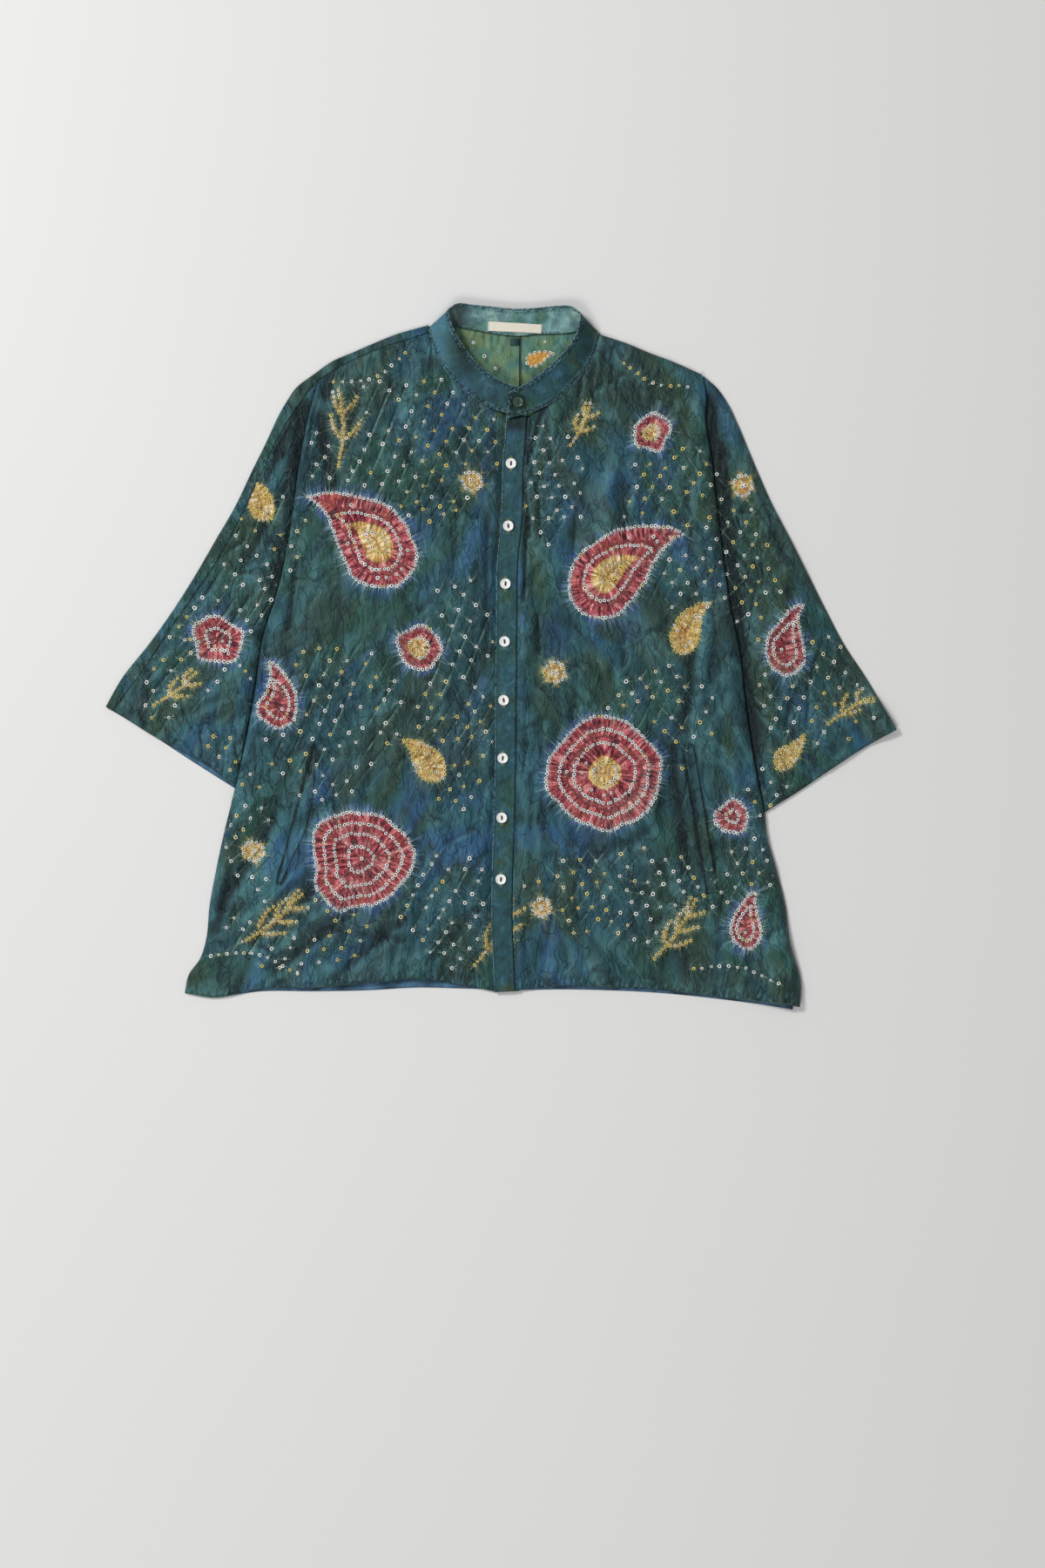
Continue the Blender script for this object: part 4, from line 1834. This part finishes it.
BAND_LENGTH = 480.0
seam_line = through(COLLAR_SECTIONS[:, [0, 1, 4]])
free_line = through(COLLAR_SECTIONS[:, [2, 3, 5]])


def band_place(t, up):
    """A place in the middle of the band's thickness: t along the neck, and up its height."""
    return seam_line(t) + np.asarray(up)[..., None] * (free_line(t) - seam_line(t))


def band_normal(t):
    """Across the band: its direction along the neck crossed with its direction up."""
    step = 0.01
    middle = np.full_like(t, 0.5)
    along = band_place(np.minimum(t + step, 1), middle) - band_place(np.maximum(t - step, 0), middle)
    normal = np.cross(along, free_line(t) - seam_line(t))
    return normal / np.linalg.norm(normal, axis=-1, keepdims=True)


def rounded_section(cells):
    """Up one face of the band and down the other: shares of its height, and offsets across it."""
    angle = np.radians(np.linspace(-90, 90, 5)[1:-1])
    up = np.linspace(0.02, 0.98, cells)
    turn_up = 0.98 + 0.02 * np.cos(angle)
    turn_off = np.sin(angle)
    ups = np.concatenate([up, turn_up, up[::-1], 1 - turn_up])
    offs = np.concatenate([np.full(cells, -1.0), turn_off, np.full(cells, 1.0), -turn_off])
    return ups, offs


COLLAR_STATIONS = np.linspace(0, 1, 241)
ups, offs = rounded_section(12)
t, up = np.meshgrid(COLLAR_STATIONS, ups, indexing="ij")
off = np.broadcast_to(offs, t.shape)
middle = band_place(t, up)
inner_puff = np.sin(np.pi * np.clip(up, 0, 1))
near_edge = np.exp(-((np.minimum(up, 1 - up) * BAND_HEIGHT - 4.0) / 3.0) ** 2)
ripple = 0.5 * soft_noise(t * BAND_LENGTH, up * BAND_HEIGHT, 13, 41) * inner_puff
ripple += 0.45 * soft_noise(t * BAND_LENGTH, up * BAND_HEIGHT, 5, 42, 2.0) * near_edge
collar_points = middle + band_normal(t) * (BAND_HALF * off + ripple)[..., None]
count, around = collar_points.shape[:2]
first = np.arange(count * around).reshape(count, around)
ring = np.concatenate([first, first[:, :1]], 1)
collar_quads = np.stack([ring[:-1, :-1], ring[1:, :-1], ring[1:, 1:], ring[:-1, 1:]], -1).reshape(-1, 4)
caps = np.concatenate([collar_points[:1].mean(1), collar_points[-1:].mean(1)])
start_fan = np.stack([ring[0, :-1], ring[0, 1:], np.full(around, count * around)], -1)
end_fan = np.stack([ring[-1, 1:], ring[-1, :-1], np.full(around, count * around + 1)], -1)
all_points = np.concatenate([collar_points.reshape(-1, 3), caps])
all_faces = [*collar_quads, *start_fan, *end_fan]
collar = piece_from("collar_cloth", all_points, all_faces, band_finish, ["collar"])
work = bmesh.new()
work.from_mesh(collar.data)
bmesh.ops.recalc_face_normals(work, faces=work.faces)
work.to_mesh(collar.data)
work.free()


def give_band(name, values):
    """Stores a number for each point of the band, and 0 for the middles of its two ends."""
    give(collar, name, np.concatenate([values.ravel(), [0.0, 0.0]]))


from_seam = up * BAND_HEIGHT + np.where((off > 0) & (seam_line(t)[..., 1] > 690), 2.2, 0.0)
from_rims = np.minimum(from_seam, (1 - up) * BAND_HEIGHT)
give_band("edge", np.minimum(from_rims, np.minimum(t, 1 - t) * BAND_LENGTH))
x, y = collar_points[..., 0], collar_points[..., 1]
inner_side, outer_side = np.clip(off, 0, 1), np.clip(-off, 0, 1)
in_shade = fold_height(INNER_SHADES, x, y) * inner_side + fold_height(OUTER_SHADES, x, y) * outer_side
from_button = np.linalg.norm(collar_points[..., :2] - np.array(COLLAR_BUTTON_PLAN), axis=-1)
give_band("worn", np.maximum(np.clip((14.0 - from_button) / 7.0, 0, 1), np.clip(in_shade, 0, 1)))
give_band("inner", inner_side)
give(collar, "gathered", np.ones(len(collar.data.vertices)))
print("the band's normal points up at its middle back:", band_normal(np.array([0.5]))[0, 2] > 0)
print("collar:", len(collar.data.polygons), "faces")

# %% [markdown]
# ## Label, loop and seam strip
# A bare woven tape is sewn inside the band, with a small loop of the shirt's own silk below it. The seam of
# the back is pressed to one side.


# %% Label
def tape_finish():
    """Woven tape with fine ribs across it."""
    dye = Dye("label_tape")
    place = dye.place()
    ribs = (place * (0.0, 9.0, 0.0)).length().math("SINE")
    colour = dye.blend("#e6dfcc", "#f1ebdb", dye.noise(place, 3.0, 2.0))
    return dye.finish(colour, 0.75, ribs * 0.05 + dye.noise(place, 1.2) * 0.12, sheen=0.1)


LABEL_CORNERS = [(-28.2, 724.3), (30.4, 721.6), (31.2, 730.9), (-27.6, 734.4)]
back_stations = COLLAR_STATIONS[seam_line(COLLAR_STATIONS)[:, 1] > 715]
back_x = seam_line(back_stations)[:, 0]


def band_height(x, y):
    """Height of the band's middle behind the neck, from how far up the band the place is."""
    t = np.interp(x, back_x, back_stations)
    seam, free = seam_line(t), free_line(t)
    up = (y - seam[..., 1]) / (free[..., 1] - seam[..., 1])
    return seam[..., 2] + up * (free[..., 2] - seam[..., 2])


u, v = np.meshgrid(np.linspace(0, 1, 61), np.linspace(0, 1, 13))
lower_left, lower_right, upper_right, upper_left = (np.array(corner) for corner in LABEL_CORNERS)
low_edge = lower_left + u[..., None] * (lower_right - lower_left)
high_edge = upper_left + u[..., None] * (upper_right - upper_left)
plan = low_edge + v[..., None] * (high_edge - low_edge)
x, y = plan[..., 0], plan[..., 1]
z = band_height(x, y) + BAND_HALF + 0.9 + 0.3 * np.sin(2 * np.pi * u) * (1 - v) + 0.2 * np.cos(9 * u)
label_face = np.stack([x, y, z], -1)
label = grid_piece("neck_label_tape", label_face, tape_finish(), ["neck_label"])
thicken(label, 0.5)
print("label", round(float(np.linalg.norm(upper_right - upper_left))), "mm long")

# %% Loop and seam strip
LOOP_LEFT, LOOP_RIGHT = -4.0, 6.2
LOOP_LOW, LOOP_HIGH = 709.0, 716.5
BAG_INSET = 6.0


def small_strip(name, x, y, z, finish, nodes, thickness):
    """A plain strip from its grid, declared as a sheet unless it is too narrow for one."""
    piece = grid_piece(name, np.stack([x, y, z], -1), finish, nodes)
    give(piece, "edge", np.full(len(piece.data.vertices), 3.0))
    give(piece, "leaf", np.full(len(piece.data.vertices), FAR))
    thicken(piece, thickness)


x, y = np.meshgrid(np.linspace(LOOP_LEFT, LOOP_RIGHT, 17), np.linspace(LOOP_HIGH, LOOP_LOW, 11))
hump = np.sin(np.pi * (x - LOOP_LEFT) / (LOOP_RIGHT - LOOP_LEFT))
small_strip("hanging_loop_cloth", x, y, 1.9 + 1.6 * hump, loop_silk(), ["hanging_loop"], 0.5)
x, y = np.meshgrid(np.linspace(-3.0, 6.0, 9), np.linspace(716, 14, 200))
seam_z = 0.95 + 0.12 * soft_noise(x, y, 9, 51)
small_strip("back_seam_strip", x, y, seam_z, inside_finish, None, 0.4)
for name in ("pocket_bag_right", "pocket_bag_left"):
    low, high = (to_pattern(np.array(corner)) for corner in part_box(name))
    left, right = low[0] + BAG_INSET, high[0] - BAG_INSET
    lower, upper = low[1] + BAG_INSET, high[1] - BAG_INSET
    x, y = np.meshgrid(np.linspace(left, right, 30), np.linspace(upper, lower, 40))
    bag_z = 2.1 + 0.15 * soft_noise(x, y, 20, 52)
    flat = ((high[0] - low[0] - 2 * BAG_INSET) * MM, (high[1] - low[1] - 2 * BAG_INSET) * MM)
    small_strip(name + "_cloth", x, y, bag_z, inside_finish, [name], 0.4)
print("loop, seam strip and pocket bags are in place")

# %% [markdown]
# ## Pocket mouths
# Each pocket opens in a slit with a narrow welt. On the wearer's right the welt stands out as a long lens,
# and on the left it is a straight bar.

# %% Pocket welts
WELTS = [
    # name, top x, y, bottom x, y, widths at the top, the middle and the bottom
    ("pocket_welt_right", (-217, 273), (-257, 124), (2.5, 15, 3.5)),
    ("pocket_welt_left", (196, 271), (222, 113), (-11, -11, -11)),
]


def face_height(face, places):
    """Height of a panel's grid at scattered places."""
    return seat(face, places, margin=0)[0][:, 2]


def smoothed(heights, reach=6):
    """Each height as the mean of those up to the reach before and after it."""
    return np.convolve(np.pad(heights, reach, "edge"), np.ones(2 * reach + 1) / (2 * reach + 1), "valid")


for name, start, end, widths in WELTS:
    start, end = np.array(start, float), np.array(end, float)
    length = np.linalg.norm(end - start)
    across = np.array([-(end - start)[1], (end - start)[0]]) / length
    v, u = np.meshgrid(np.linspace(0, 1, 90), np.linspace(0, 1, 15), indexing="ij")
    width = through([(i, value) for i, value in enumerate(widths)])(v)[..., 1]
    plan = start + v[..., None] * (end - start) + (u * width)[..., None] * across
    panel = faces["front_right_cloth" if "right" in name else "front_left_cloth"]
    below = face_height(panel, plan.reshape(-1, 2)).reshape(v.shape)
    smooth = np.apply_along_axis(smoothed, 0, below)
    lip = 0.9 * (1 - u) ** 3 * np.sin(np.pi * v)
    z = np.maximum(smooth, below) + 0.75 + lip - 0.35 * np.maximum(1 - (1 - u) * np.abs(width) / 1.5, 0)
    face = np.concatenate([plan, z[..., None]], -1)
    piece = grid_piece(name + "_cloth", face, silk_finish, [name])
    from_edge = (np.minimum(u, 1 - u) * np.abs(width)).ravel()
    give_dyes(piece, plain=True, worn=np.exp(-(from_edge / 1.3) ** 2))
    thicken(piece, 0.7)
    faces[name] = face
    print(name, round(length), "mm long")

# %% [markdown]
# ## Sewing
# Rows of small stitches run along the seams. Each stitch is a short spindle of thread, half sunk in the
# cloth. All of one kind are joined in one mesh.

# %% Stitches
STITCH = 2.0
STITCH_STEP = 2.9
THREAD = 0.21


def thread_finish(name, code, pale):
    """Thread of a colour that pales here and there."""
    dye = Dye(name)
    place = dye.place()
    colour = dye.blend(code, pale, dye.noise(place, 6.0, 2.0))
    return dye.finish(colour, 0.6, dye.noise(place, 0.5) * 0.1, sheen=0.2)


def spindles(middles, ways, normals, length, radius):
    """Four-sided spindles: a point at each end and two square rings between them."""
    side = np.cross(ways, normals)
    side /= np.maximum(np.linalg.norm(side, axis=1, keepdims=True), LEAST_LENGTH)
    up = np.cross(side, ways)
    corners = [side, up, -side, -up]
    rings = [middles + share * length / 2 * ways + radius * corner
             for share in (-0.55, 0.55) for corner in corners]
    tips = [middles + share * length / 2 * ways - 0.6 * radius * up for share in (-1, 1)]
    return np.stack([*rings, *tips], 1)


def spindle_faces():
    """Triangles of one spindle: a wall between its rings, and a fan to each tip."""
    k = np.arange(4)
    after = (k + 1) % 4
    wall = np.concatenate([np.stack([k, k + 4, after + 4], -1), np.stack([k, after + 4, after], -1)])
    ends = np.concatenate([np.stack([k, after, 0 * k + 8], -1), np.stack([after + 4, k + 4, 0 * k + 9], -1)])
    return np.concatenate([wall, ends])


def thread_piece(name, spindle_groups, finish):
    """One mesh of many spindles."""
    points = np.concatenate(spindle_groups)
    piece_from(name, points.reshape(-1, 3), copies(spindle_faces(), len(points), 10), finish, None)
    print(name, "has", len(points), "spindles")


stitches = []


def sew(points, normals, step=STITCH_STEP, length=STITCH, radius=THREAD):
    """Stitches along a line of points, each laid along the line."""
    along = np.concatenate([[0.0], np.cumsum(np.linalg.norm(np.diff(points, axis=0), axis=1))])
    at = np.arange(step / 2, along[-1], step)

    def read(rows, where):
        return np.stack([np.interp(where, along, rows[:, k]) for k in range(3)], -1)
    place, normal = read(points, at), read(normals, at)
    way = read(points, at + 0.5) - read(points, at - 0.5)
    way /= np.maximum(np.linalg.norm(way, axis=1, keepdims=True), LEAST_LENGTH)
    stitches.append(spindles(place + 0.35 * radius * normal, way, normal, length, radius))


def sew_on_panel(panel, line):
    """Stitches along a plan line, seated on a panel's grid."""
    seated, normals = seat(faces[panel], line, margin=1)[:2]
    if len(seated) > 3:
        sew(seated, normals)


def sew_on_grid(face, column):
    """Stitches along one column of a narrow strip's grid."""
    sew(face[:, column], upward(face)[:, column])


PANEL_SEAMS = [
    # panel, line, distance to the left of the line
    ("front_right", "hem_front_right", -14),
    ("front_left", "hem_front_left", 14),
    ("sleeve_right_front", "cuff_front_right", -15),
    ("sleeve_left_front", "cuff_left", 15),
    ("front_right", "shoulder_seam_right", 2.0),
    ("sleeve_right_front", "overarm_seam_right", 2.0),
    ("front_right", "shoulder_seam_right", 7.0),
    ("sleeve_right_front", "overarm_seam_right", 7.0),
    ("sleeve_left_front", "overarm_edge_left", -6.0),
    ("front_left", "placket_edge", PLACKET_WIDTH + 2.2),
]
STRIP_SEAMS = [("placket_top", 16), ("placket_top", 2), ("pocket_welt_right", 12), ("pocket_welt_left", 12)]
for panel, line, inset in PANEL_SEAMS:
    sew_on_panel(panel + "_cloth", beside(LINES[line], inset)(np.linspace(0, 1, 220)))
for strip, column in STRIP_SEAMS:
    sew_on_grid(faces[strip], column)
t = np.linspace(0.004, 0.996, 400)
for up_share in (0.07, 0.93):
    for face_sign in (-1, 1):
        normal = band_normal(t) * face_sign
        sew(band_place(t, np.full_like(t, up_share)) + (BAND_HALF + 0.05) * normal, normal)
label_normals = np.tile([0.0, -0.2, 1.0], (len(label_face), 1))
for column in (1, -2):
    sew(label_face[:, column] + np.array([0.0, 0.0, 0.1]), label_normals, 1.6, 1.1, 0.16)
thread_piece("topstitching", stitches, thread_finish("sewing_thread", "#244548", "#3f6a6c"))

# %% [markdown]
# ## Buttons
# The placket has eight pale shell buttons and the collar a dark one. A button is a profile turned about its
# axis, with two holes cut through it, and thread that passes from hole to hole.


# %% Button finishes
def button_finish(name, stops, roughness, coat, coat_roughness):
    """A cloudy polished stuff under a thin clear coat."""
    dye = Dye(name)
    place = dye.place()
    colour = dye.ramp(dye.noise(place, 3.0, 3.0, 0.5, 1.0), stops)
    fine = dye.noise(place, 1.5) * 0.03
    return dye.finish(colour, roughness, fine, Coat_Weight=coat, Coat_Roughness=coat_roughness)


shell = button_finish("pale_shell", [(0.3, "#e2e0dc"), (0.5, "#f4f3f1"), (0.8, "#ffffff")], 0.22, 0.3, 0.1)
horn = button_finish("dark_horn", [(0.3, "#24402f"), (0.55, "#304f3f"), (0.8, "#4f7059")], 0.3, 0.2, 0.2)
dark_thread = thread_finish("button_thread", "#11171a", "#2c3836")
print("materials in all:", len(bpy.data.materials))

# %% [markdown]
# A button's section is drawn once, from the middle of its back to the middle of its dished face, and turned
# about the axis. Its holes are cut by two pins that are turned the same way.

# %% The button's shape
BUTTON_RADIUS = 5.8
BUTTON_HEIGHT = 2.1
HOLE_RADIUS = 0.95
HOLE_SPACING = 3.2
PIN = [(0, -1), (HOLE_RADIUS, -1), (HOLE_RADIUS, 3.5), (0, 3.5)]
PROFILE = [
    # share of the radius, share of the height
    (0.0, 0.0), (0.80, 0.0), (0.93, 0.06), (1.0, 0.28), (1.0, 0.62), (0.965, 0.86), (0.90, 0.99),
    (0.82, 0.97), (0.76, 0.84), (0.70, 0.74), (0.60, 0.70), (0.0, 0.66),
]


def lathe(profile, sides):
    """Points of a profile turned about z, and its faces. The two ends lie on the axis."""
    angle = np.arange(sides) * 2 * np.pi / sides
    radius, height = np.array(profile)[1:-1].T
    walls = np.stack([radius[:, None] * np.cos(angle), radius[:, None] * np.sin(angle),
                      np.repeat(height[:, None], sides, 1)], -1)
    points = np.concatenate([[[0, 0, profile[0][1]]], walls.reshape(-1, 3), [[0, 0, profile[-1][1]]]])
    ring = 1 + np.arange(len(radius) * sides).reshape(len(radius), sides)
    after = np.roll(ring, -1, axis=1)
    quads = np.stack([ring[:-1], after[:-1], after[1:], ring[1:]], -1).reshape(-1, 4)
    low = np.stack([np.zeros(sides, int), after[0], ring[0]], -1)
    high = np.stack([np.full(sides, len(points) - 1), ring[-1], after[-1]], -1)
    return points, [*quads, *low, *high]


def button_mesh():
    """A button at the origin in millimetres, with its two holes cut."""
    profile = [(share * BUTTON_RADIUS, rise * BUTTON_HEIGHT) for share, rise in PROFILE]
    disc = put("disc", mesh_of("disc", *lathe(profile, 48)))
    spares = [disc]
    for side in (-1, 1):
        points, rows = lathe(PIN, 14)
        tool = put("tool", mesh_of("tool", points + np.array([0, side * HOLE_SPACING / 2, 0]), rows))
        spares.append(tool)
        cut = disc.modifiers.new("hole", "BOOLEAN")
        cut.operation = "DIFFERENCE"
        cut.object = tool
        cut.solver = "EXACT"
    bpy.context.view_layer.update()
    made = bpy.data.meshes.new_from_object(disc.evaluated_get(bpy.context.evaluated_depsgraph_get()))
    for spare in spares:
        bpy.data.objects.remove(spare)
    return made


master = button_mesh()
print("faces of a button:", len(master.polygons))

# %% Buttons
BUTTON_PLACES = [
    (-3, 580), (-6, 512), (-9, 449), (-10, 386), (-11, 322), (-12, 259), (-13, 194), (-14, 127)]
BUTTON_TURNS = (-6, 8, -3, 5, 10, -9, 4, -5)
SHARP_EDGE = math.radians(40)
master_faces = [tuple(face.vertices) for face in master.polygons]
master_points = points_of(master)
thread_points = []


def set_button(name, node, turn, place, finish):
    """The master button turned and moved to its place, with two strands of thread between its holes."""
    mesh = mesh_of(name, to_frame(master_points @ turn.T + place), master_faces)
    mesh.materials.append(finish)
    mesh.shade_smooth()
    mesh.set_sharp_from_angle(angle=SHARP_EDGE)
    piece = put(name, mesh)
    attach(piece, "root")
    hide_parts(node)
    for offset in (-0.5, 0.5):
        middle = np.array([[offset, 0.0, 0.78 * BUTTON_HEIGHT]]) @ turn.T + place
        way = np.array([[0.0, 1.0, 0.0]]) @ turn.T
        normal = np.array([[0.0, 0.0, 1.0]]) @ turn.T
        thread_points.append(spindles(middle, way, normal, HOLE_SPACING + 2.6, 0.55))


for i, (x, y) in enumerate(BUTTON_PLACES):
    turn_angle = math.radians(BUTTON_TURNS[i])
    c, s = math.cos(turn_angle), math.sin(turn_angle)
    turn = np.array([[c, -s, 0], [s, c, 0], [0, 0, 1.0]])
    place = np.array([x, y, PLACKET_FACE + 0.45])
    set_button(f"button_{i + 1}_shell", f"button_{i + 1}", turn, place, shell)

COLLAR_BUTTON = (0.975, 0.52)
t = np.array([COLLAR_BUTTON[0]])
normal = band_normal(t)[0]
normal *= np.sign(normal[2])
side = np.cross(np.array([0.0, 1.0, 0.0]), normal)
side /= np.linalg.norm(side)
turn = np.stack([side, np.cross(normal, side), normal], -1)
place = band_place(t, np.array([COLLAR_BUTTON[1]]))[0] + (BAND_HALF + 2.0) * normal
set_button("button_collar_horn", "button_collar", turn, place, horn)
thread_piece("button_threads", thread_points, dark_thread)
print(len(BUTTON_PLACES) + 1, "buttons")

# %% [markdown]
# ## Buttonholes
# A buttonhole is a slit with close stitches along both sides. It runs along the placket, and its two ends
# show above and below each button, where the thread is paler.

# %% Buttonholes
HOLE_HALF = 8.0
BAR_COUNT = 24
bars = []
rise = np.linspace(-HOLE_HALF, HOLE_HALF, BAR_COUNT)
ways, normals = (np.tile(way, (BAR_COUNT, 1)) for way in ([1.0, 0, 0], [0, 0, 1.0]))
for x, y in BUTTON_PLACES:
    for side in (-0.9, 0.9):
        height = np.full(BAR_COUNT, PLACKET_FACE + 0.12)
        middles = np.stack([np.full(BAR_COUNT, x + side), y + rise, height], -1)
        bars.append(spindles(middles, ways, normals, 1.7, 0.3))
olive = thread_finish("buttonhole_thread", "#4f6a4a", "#a8b060")
thread_piece("buttonhole_stitching", bars, olive)

# %% [markdown]
# ## Size
# The dressed shirt has to stay in the solids' box, with a little room for cloth that stands proud.

# %% Size and end
low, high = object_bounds()
print("visual box in mm:", [round(value / MM, 1) for value in high - low])
